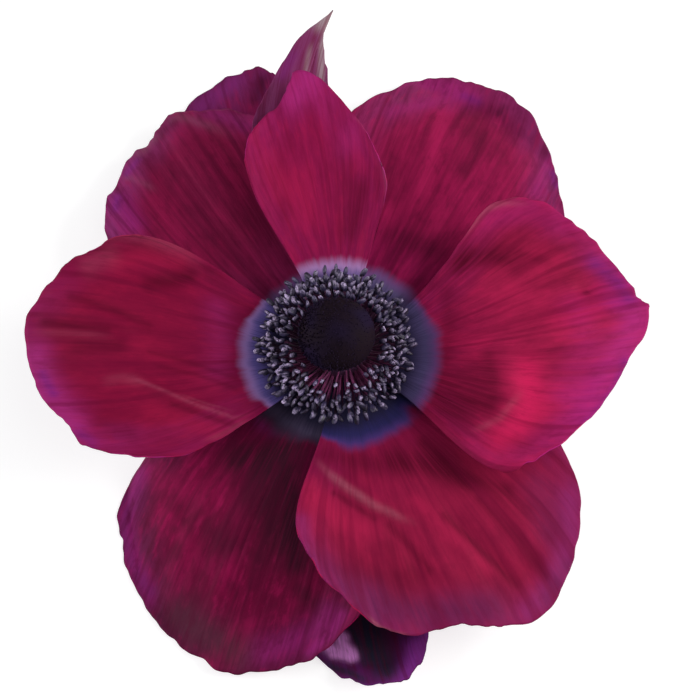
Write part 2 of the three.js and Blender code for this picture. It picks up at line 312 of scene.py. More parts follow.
def spun(profile: Sequence[Plan], steps: int, flower: Flower,
         closed: bool = False) -> bmesh.types.BMesh:
    """Turn a profile of radius and height about the flower's axis.

    Args:
        profile: Pairs of radius and height in millimetres.
        steps: How many sides the piece gets.
        flower: Where the axis stands.
        closed: Whether the profile's end joins its start.

    Returns:
        The turned shape with outward normals.
    """
    bm = bmesh.new()
    rim = [bm.verts.new((radius * MM, 0, height * MM)) for radius, height in profile]
    edges = [bm.edges.new(pair) for pair in zip(rim, rim[1:])]
    if closed:
        edges.append(bm.edges.new((rim[-1], rim[0])))
    bmesh.ops.spin(bm, geom=rim + edges, angle=2 * math.pi, steps=steps, axis=(0, 0, 1),
                   cent=(0, 0, 0), use_merge=True)
    bmesh.ops.remove_doubles(bm, verts=bm.verts, dist=1e-7)
    bmesh.ops.recalc_face_normals(bm, faces=bm.faces)
    bmesh.ops.translate(bm, vec=flower.axis, verts=bm.verts)
    return bm


class Shader:
    """A material and its nodes, filled from the pattern to the finish."""

    def __init__(self, name: str) -> None:
        """Start from Blender's Principled surface.

        Args:
            name: The material's name.
        """
        self.material = bpy.data.materials.new(name)
        self.material.use_nodes = True
        self.tree = self.material.node_tree
        self.surface = self.tree.nodes["Principled BSDF"]

    def node(self, kind: str, **settings: object) -> bpy.types.Node:
        """Add a node.

        Args:
            kind: Its type.
            settings: Its properties.

        Returns:
            The node.
        """
        made = self.tree.nodes.new(kind)
        for name, value in settings.items():
            setattr(made, name, value)
        return made

    def feed(self, socket: bpy.types.NodeSocket, value: object) -> None:
        """Link a socket to another one, or set its value.

        Args:
            socket: The input to fill.
            value: Another node's output, a number or a colour.
        """
        if isinstance(value, bpy.types.NodeSocket):
            self.tree.links.new(value, socket)
        elif isinstance(value, tuple) and len(value) == 3 and socket.type == "RGBA":
            socket.default_value = (*value, 1)
        else:
            socket.default_value = value

    def maths(self, operation: str, first: object, second: object = 0.0) -> bpy.types.NodeSocket:
        """Add a math node.

        Args:
            operation: What it does.
            first: Its first value.
            second: Its second value.

        Returns:
            Its result.
        """
        made = self.node("ShaderNodeMath", operation=operation)
        self.feed(made.inputs[0], first)
        self.feed(made.inputs[1], second)
        return made.outputs[0]

    def scaled(self, value: object, factor: float, shift: float) -> bpy.types.NodeSocket:
        """Multiply a value and add to it.

        Args:
            value: The value.
            factor: What it is multiplied by.
            shift: What is then added.

        Returns:
            The result.
        """
        result = self.maths("MULTIPLY_ADD", value, factor)
        result.node.inputs[2].default_value = shift
        return result

    def mix(self, share: object, first: object, second: object) -> bpy.types.NodeSocket:
        """Mix two colours.

        Args:
            share: How much of the second one there is, from 0 to 1.
            first: The first colour.
            second: The second colour.

        Returns:
            The mixed colour.
        """
        made = self.node("ShaderNodeMix", data_type="RGBA")
        for socket, value in zip(MIX_INPUTS, (share, first, second)):
            self.feed(made.inputs[socket], value)
        return made.outputs[MIX_RESULT]

    def span(self, value: object, low: float, high: float, top: float = 1.0) -> bpy.types.NodeSocket:
        """Step smoothly from 0 to a top value.

        Args:
            value: What is followed.
            low: Where the step starts.
            high: Where it ends, which may be less than low.
            top: The value there.

        Returns:
            The stepped value.
        """
        made = self.node("ShaderNodeMapRange", interpolation_type="SMOOTHSTEP")
        self.feed(made.inputs["Value"], value)
        made.inputs["From Min"].default_value = low
        made.inputs["From Max"].default_value = high
        made.inputs["To Max"].default_value = top
        return made.outputs["Result"]

    def washed(self, colour: object, paint: object, value: object, low: float, high: float,
               top: float = 1.0) -> bpy.types.NodeSocket:
        """Lay a paint over a colour, where a value steps from low to high, up to a top share."""
        return self.mix(self.span(value, low, high, top), colour, paint)

    def noise(self, vector: bpy.types.NodeSocket, scale: float | Point, detail: float = 2.0,
              roughness: float = 0.5, shift: Point = (0, 0, 0)) -> bpy.types.NodeSocket:
        """Add a noise pattern.

        Args:
            vector: The coordinates that it follows.
            scale: How fine it is, one number for all ways or one for each.
            detail: How many finer layers it has.
            roughness: How strong they are.
            shift: How far it is moved.

        Returns:
            Its value, about 0.25 to 0.75.
        """
        placed = self.node("ShaderNodeMapping")
        self.feed(placed.inputs["Vector"], vector)
        placed.inputs["Scale"].default_value = scale if isinstance(scale, tuple) else (scale,) * 3
        placed.inputs["Location"].default_value = shift
        made = self.node("ShaderNodeTexNoise")
        self.feed(made.inputs["Vector"], placed.outputs["Vector"])
        made.inputs["Scale"].default_value = 1.0
        made.inputs["Detail"].default_value = detail
        made.inputs["Roughness"].default_value = roughness
        return made.outputs[0]

    def map_coordinates(self) -> bpy.types.NodeSocket:
        """Read a petal's own map: across its veins and along them, from 0 to 1."""
        return self.node("ShaderNodeUVMap", uv_map=PETAL_MAP).outputs["UV"]

    def object_coordinates(self) -> bpy.types.NodeSocket:
        """Read Object coordinates, in metres."""
        return self.node("ShaderNodeTexCoord").outputs["Object"]

    def stored(self, name: str) -> bpy.types.NodeSocket:
        """Read a number kept with the mesh."""
        return self.node("ShaderNodeAttribute", attribute_name=name).outputs["Fac"]

    def relief(self, height: bpy.types.NodeSocket, depth: float, strength: float,
               below: bpy.types.NodeSocket | None = None) -> bpy.types.NodeSocket:
        """Add a bump.

        Args:
            height: Its pattern.
            depth: Its depth in millimetres.
            strength: How much of it shows.
            below: Another bump that it lies on, if any.

        Returns:
            The bumped normal.
        """
        made = self.node("ShaderNodeBump")
        made.inputs["Strength"].default_value = strength
        made.inputs["Distance"].default_value = depth * MM
        self.feed(made.inputs["Height"], height)
        if below is not None:
            self.feed(made.inputs["Normal"], below)
        return made.outputs["Normal"]

    def finish(self, colour: object, roughness: object, normal: object = None,
               **fixed: object) -> bpy.types.Material:
        """Set the surface's sockets.

        Args:
            colour: Base colour, a socket or a plain colour.
            roughness: Roughness, a socket or a number.
            normal: The relief, if any.
            fixed: Other sockets by name, with underscores for spaces.

        Returns:
            The finished material.
        """
        self.feed(self.surface.inputs["Base Color"], colour)
        self.feed(self.surface.inputs["Roughness"], roughness)
        if normal is not None:
            self.feed(self.surface.inputs["Normal"], normal)
        for name, value in fixed.items():
            self.feed(self.surface.inputs[name.replace("_", " ")], value)
        return self.material


@dataclass(frozen=True)
class Velvet:
    """The upper face of a petal: velvet with veins, a tinged margin, a halo and marks, some of them
    painted shade, shadow and light.
    """

    core: Colour
    edge: Colour
    foot: Colour
    vein: Colour
    glow: Colour
    shade: Colour
    magenta: Colour = (0.34, 0.02, 0.155)
    violet: Colour = (0.2, 0.016, 0.2)
    pale_and_sheen: Colour = (0.42, 0.11, 0.14)
    # Going inwards the halo darkens to its deep colour, partly as painted shade under the stamens. The
    # petals set lighter halo colours on the left and top and darker ones below, partly as painted
    # light.
    halo_rim: Colour = (0.2, 0.1, 0.29)
    halo: Colour = (0.085, 0.064, 0.2)
    halo_deep: Colour = (0.018, 0.016, 0.045)
    edge_depth: float = 6.5
    foot_strength: float = 0.6
    vein_strength: float = 0.24
    thread_share: float = 0.7
    cloud_strength: float = 0.24
    rib_strength: float = 0.4
    mottle_strength: float = 0.2
    seed: float = 0.0

    def material(self, name: str) -> bpy.types.Material:
        """Make the material.

        Args:
            name: The material's name.

        Returns:
            The material, which reads the petal's map and its stored numbers.
        """
        shade = Shader(name)
        where = shade.map_coordinates()
        shift = tuple(self.seed * step for step in SEED_STEP)
        threads = shade.noise(where, (120, 5, 1), detail=3, shift=shift)
        veins = shade.noise(where, (44, 2.4, 1), detail=3, shift=shift)
        clouds = shade.noise(where, (7, 4.5, 1), detail=3, shift=shift)
        bands = shade.noise(where, (13, 1.6, 1), detail=2, shift=shift)
        ribs = shade.noise(where, (30, 0.8, 1), detail=1, shift=shift)
        mottle = shade.noise(where, (32, 11, 1), detail=4, roughness=0.65, shift=shift)

        uneven = shade.scaled(bands, 5.0, -2.5)
        ragged = shade.maths("ADD", shade.stored(FROM_MARGIN), uneven)
        at_edge = shade.maths("MULTIPLY", shade.span(ragged, self.edge_depth, 0.1),
                              shade.stored(TINGED))
        halo = shade.stored(INSIDE_HALO)
        # Darker towards the claw, partly painted shade under the stamens and the petals above.
        at_foot = shade.span(halo, -13.0, -0.5, self.foot_strength)
        streaky = shade.scaled(shade.maths("ADD", veins, threads), 1.5, -0.5)

        colour = shade.mix(at_edge, self.core, self.edge)
        colour = shade.mix(at_foot, colour, self.foot)
        colour = shade.washed(colour, self.glow, clouds, 0.5, 0.68, self.cloud_strength)
        colour = shade.washed(colour, self.vein, clouds, 0.5, 0.32, self.cloud_strength)
        colour = shade.washed(colour, self.glow, mottle, 0.5, 0.66, self.mottle_strength)
        colour = shade.washed(colour, self.vein, bands, 0.5, 0.66, self.vein_strength)
        # Lay the marks: painted shade and shadow, painted light and painted highlight, among the
        # petal's own magenta, violet and pale tones.
        for tone, paint in ((Tone.GLOW, self.glow), (Tone.MAGENTA, self.magenta),
                            (Tone.VIOLET, self.violet), (Tone.SHADE, self.shade),
                            (Tone.PALE_AND_SHEEN, self.pale_and_sheen)):
            share = shade.maths("MULTIPLY", shade.stored(tone.value), streaky)
            colour = shade.mix(share, colour, paint)
        colour = shade.washed(colour, self.vein, mottle, 0.5, 0.34, self.mottle_strength)
        colour = shade.washed(colour, self.vein, ribs, 0.53, 0.68, self.rib_strength)
        colour = shade.washed(colour, self.vein, veins, 0.5, 0.66, self.vein_strength)
        thread_strength = self.vein_strength * self.thread_share
        colour = shade.washed(colour, self.vein, threads, 0.5, 0.7, thread_strength)

        fringe = shade.scaled(threads, 0.6, -0.3)
        lobed = shade.scaled(bands, 1.4, -0.7)
        fringed = shade.maths("ADD", halo, shade.maths("ADD", fringe, lobed))
        # Darker away from the halo's rim, partly as painted shade under the stamens.
        inner = shade.washed(self.halo, self.halo_deep, fringed, 1.6, 4.6)
        inner = shade.washed(inner, self.halo_deep, threads, 0.42, 0.66, 0.3)
        ring = shade.washed(self.halo_rim, inner, fringed, 0.2, 2.0)
        colour = shade.washed(colour, ring, fringed, -1.2, 0.9)

        fine = shade.noise(shade.object_coordinates(), 9000, detail=1)
        bumped = shade.relief(threads, 0.10, 0.5)
        bumped = shade.relief(fine, 0.03, 0.35, bumped)
        rough = shade.scaled(veins, 0.25, 0.48)
        return shade.finish(colour, rough, bumped, Sheen_Weight=0.04, Sheen_Roughness=0.5,
                            Sheen_Tint=(0.95, 0.15, 0.45, 1), Specular_IOR_Level=0.04)


@dataclass(frozen=True)
class Silk:
    """The lower face of a petal: paler, greyer and silky, with long pale hairs of vein."""

    base: Colour = (0.2, 0.035, 0.12)
    streak: Colour = (0.34, 0.17, 0.27)
    foot: Colour = (0.16, 0.13, 0.2)

    def material(self, name: str) -> bpy.types.Material:
        """Make the material of a petal's reverse.

        Args:
            name: The material's name.

        Returns:
            The material.
        """
        shade = Shader(name)
        where = shade.map_coordinates()
        threads = shade.noise(where, (90, 3.0, 1), detail=3)
        bands = shade.noise(where, (16, 1.4, 1), detail=2)
        colour = shade.washed(self.base, self.streak, bands, 0.4, 0.66, 0.6)
        colour = shade.washed(colour, self.streak, threads, 0.48, 0.68, 0.5)
        colour = shade.washed(colour, self.foot, shade.stored(INSIDE_HALO), -6.0, 2.0, 0.8)
        bumped = shade.relief(threads, 0.12, 0.7)
        return shade.finish(colour, 0.42, bumped, Sheen_Weight=0.5, Sheen_Roughness=0.35,
                            Sheen_Tint=(0.9, 0.75, 0.85, 1), Specular_IOR_Level=0.4)


@dataclass(frozen=True)
class Edging:
    """The thin cut-like rim between a petal's two faces."""

    base: Colour
    lit: Colour
    pale: Colour
    foot: Colour = (0.03, 0.003, 0.012)

    def material(self, name: str) -> bpy.types.Material:
        """Make the material of the rim.

        Args:
            name: The material's name.

        Returns:
            The material.
        """
        shade = Shader(name)
        patches = shade.noise(shade.object_coordinates(), 320, detail=2)
        colour = shade.washed(self.base, self.lit, patches, 0.4, 0.65)
        # Paler where the pale marks run along the rim, a painted highlight of the rim catching light.
        colour = shade.mix(shade.stored(Tone.PALE_AND_SHEEN.value), colour, self.pale)
        # Darker towards the claw, partly painted shade.
        colour = shade.washed(colour, self.foot, shade.stored(INSIDE_HALO), -15.0, -4.0)
        return shade.finish(colour, 0.8, Specular_IOR_Level=0.0)


@dataclass(frozen=True)
class AntherFinish:
    """Blue-black anthers with pale lilac pollen and a painted highlight on their crowns."""

    base: Colour = (0.009, 0.006, 0.02)
    blue: Colour = (0.04, 0.03, 0.082)
    pollen_highlight: Colour = (0.56, 0.44, 0.7)

    def material(self) -> bpy.types.Material:
        """Make the anthers' material.

        Returns:
            The material, which reads how much bloom each point has.
        """
        shade = Shader("anther_pollen_highlight")
        where = shade.object_coordinates()
        speckle = shade.noise(where, 4200, detail=2, roughness=0.6)
        patches = shade.noise(where, 700, detail=2)
        tint = shade.stored(GRAIN_TINT)
        colour = shade.washed(self.base, self.blue, patches, 0.4, 0.62)
        # Pollen and painted highlight, by the stored share of each point.
        pollen_highlight_share = shade.maths("MULTIPLY", shade.span(speckle, 0.3, 0.6), tint)
        colour = shade.mix(pollen_highlight_share, colour, self.pollen_highlight)
        bumped = shade.relief(speckle, 0.04, 0.35)
        return shade.finish(colour, 0.46, bumped, Specular_IOR_Level=0.35)


@dataclass(frozen=True)
class FilamentFinish:
    """Purple-red filaments that darken towards their anthers."""

    base: Colour = (0.24, 0.035, 0.14)
    dark: Colour = (0.04, 0.012, 0.045)

    def material(self) -> bpy.types.Material:
        """Make the filaments' material.

        Returns:
            The material, which reads how red each point is.
        """
        shade = Shader("filament_red")
        patches = shade.noise(shade.object_coordinates(), (700, 700, 300), detail=2)
        colour = shade.mix(shade.stored(GRAIN_TINT), self.dark, self.base)
        colour = shade.washed(colour, self.dark, patches, 0.5, 0.66, 0.6)
        return shade.finish(colour, 0.5, Specular_IOR_Level=0.3, Sheen_Weight=0.1)


@dataclass(frozen=True)
class PistilFinish:
    """Near-black purple of the styles, bluer on one side and browner on the other."""

    base: Colour = (0.013, 0.007, 0.024)
    brown: Colour = (0.012, 0.006, 0.011)
    tip: Colour = (0.025, 0.014, 0.042)

    def material(self) -> bpy.types.Material:
        """Make the styles' material.

        Returns:
            The material, which reads how near each point is to its style's tip.
        """
        shade = Shader("pistil_black")
        where = shade.object_coordinates()
        broad = shade.noise(where, 160, detail=1)
        grain = shade.noise(where, 3200, detail=2)
        colour = shade.washed(self.base, self.brown, broad, 0.42, 0.6)
        colour = shade.washed(colour, self.tip, shade.stored(GRAIN_TINT), 0.3, 1.0, 0.8)
        bumped = shade.relief(grain, 0.04, 0.5)
        return shade.finish(colour, 0.7, bumped, Specular_IOR_Level=0.04)


@dataclass(frozen=True)
class StemFinish:
    """Green stem flushed with purple in fine lengthwise lines, pale where it is cut."""

    green: Colour = (0.12, 0.16, 0.045)
    flush: Colour = (0.11, 0.03, 0.055)
    pith: Colour = (0.45, 0.5, 0.28)
    cut_height: tuple[float, float] = (0.55, 0.1)

    def material(self) -> bpy.types.Material:
        """Make the stem's material.

        Returns:
            The material.
        """
        shade = Shader("stem_green")
        where = shade.object_coordinates()
        lines = shade.noise(where, (1500, 1500, 90), detail=3)
        patches = shade.noise(where, (350, 350, 160), detail=3)
        apart = shade.node("ShaderNodeSeparateXYZ")
        shade.feed(apart.inputs["Vector"], where)
        whole, cut = self.cut_height
        colour = shade.washed(self.green, self.flush, patches, 0.4, 0.62, 0.75)
        colour = shade.washed(colour, self.pith, lines, 0.5, 0.68, 0.45)
        colour = shade.washed(colour, self.pith, apart.outputs["Z"], whole * MM, cut * MM)
        bumped = shade.relief(lines, 0.1, 0.6)
        return shade.finish(colour, 0.55, bumped, Specular_IOR_Level=0.4, Sheen_Weight=0.4,
                            Sheen_Roughness=0.4, Sheen_Tint=(0.9, 0.95, 0.8, 1))


@dataclass(frozen=True)
class Ripple:
    """Waves that run round a petal's margin: their height, number and phase."""

    height: float = 0.0
    count: float = 1.0
    phase: float = 0.0


@dataclass(frozen=True)
class Nudge:
    """A small shift of one stretch of a petal's margin, in millimetres outwards and to the right."""

    t: float
    width: float
    out: float
    aside: float = 0.0
    s: float = 1.0


@dataclass(frozen=True)
class Stroke:
    """A soft line over a petal in plan, or a spot if it has one point only."""

    line: tuple[Plan, ...]
    width: float

    def nearness(self, x: np.ndarray, y: np.ndarray) -> tuple[np.ndarray, np.ndarray]:
        """Tell how near points in plan lie to the line.

        Args:
            x: First plan coordinates.
            y: Second plan coordinates.

        Returns:
            The nearness, 1 on the line and a third at its half-width, and the share of the way
            along the line.
        """
        nearest = np.hypot(x - self.line[0][0], y - self.line[0][1])
        place = np.zeros(x.shape)
        pieces = len(self.line) - 1
        for step, ((ax, ay), (bx, by)) in enumerate(zip(self.line, self.line[1:])):
            length = (bx - ax) ** 2 + (by - ay) ** 2
            share = np.clip(((x - ax) * (bx - ax) + (y - ay) * (by - ay)) / length, 0, 1)
            away = np.hypot(x - ax - share * (bx - ax), y - ay - share * (by - ay))
            closer = away < nearest
            nearest = np.where(closer, away, nearest)
            place = np.where(closer, (step + share) / pieces, place)
        return np.exp(-(nearest / self.width) ** 2), place

    def tapered(self, x: np.ndarray, y: np.ndarray) -> np.ndarray:
        """Give the nearness to the line, fading out towards both its ends."""
        near, place = self.nearness(x, y)
        return near * eased(place, 0, 0.3) * eased(place, 1, 0.65)


@dataclass(frozen=True)
class Fold(Stroke):
    """A crease or ridge that runs over a petal, highest on its line."""

    height: float

    def lift(self, x: np.ndarray, y: np.ndarray) -> np.ndarray:
        """Give the fold's height at points in plan."""
        return self.height * self.tapered(x, y)


@dataclass(frozen=True)
class Mark(Stroke):
    """A soft patch of another tone on a petal. Some are its own colours; others paint shade, shadow and
    light.
    """

    tone: Tone
    strength: float


def marks(tone: Tone, *strokes: tuple[float, float, tuple[Plan, ...]]) -> tuple[Mark, ...]:
    """Make marks of one tone from their strengths, half-widths and lines."""
    return tuple(Mark(line, width, tone, strength) for strength, width, line in strokes)


@dataclass(frozen=True)
class PetalForm:
    """One petal's shape as the part's source gives it, with its finer folds and its finish."""

    name: str
    slot: Slot
    azimuth: float
    length: float
    left: float
    right: float
    shoulder: float
    roundness: float
    flare: float
    bend: float
    heights: tuple[float, float, float, float]
    cup_left: float
    cup_right: float
    velvet: Velvet
    ripple: Ripple = Ripple()
    lobes: tuple[Point, ...] = ()
    nudges: tuple[Nudge, ...] = ()
    bend_power: float = 2.0
    cup_growth: float = 1.0
    tip_curl: float = 0.0
    folds: tuple[Fold, ...] = ()
    marks: tuple[Mark, ...] = ()
    tinge: tuple[float, float, float, float, float] = (0.4, 0.7, 0.8, 0.7, 0.4)
    halo_reach: float = 14.2
    seed: float = 0.0


CRIMSON = Velvet(
    core=(0.28, 0.0055, 0.044), edge=(0.31, 0.015, 0.135), foot=(0.19, 0.004, 0.048),
    vein=(0.14, 0.0025, 0.028), glow=(0.48, 0.011, 0.074), shade=(0.075, 0.0015, 0.013),
)
WINE = Velvet(
    core=(0.2, 0.005, 0.044), edge=(0.21, 0.014, 0.11), foot=(0.15, 0.003, 0.045),
    vein=(0.09, 0.003, 0.025), glow=(0.34, 0.009, 0.072), shade=(0.026, 0.002, 0.010),
    mottle_strength=0.32,
)

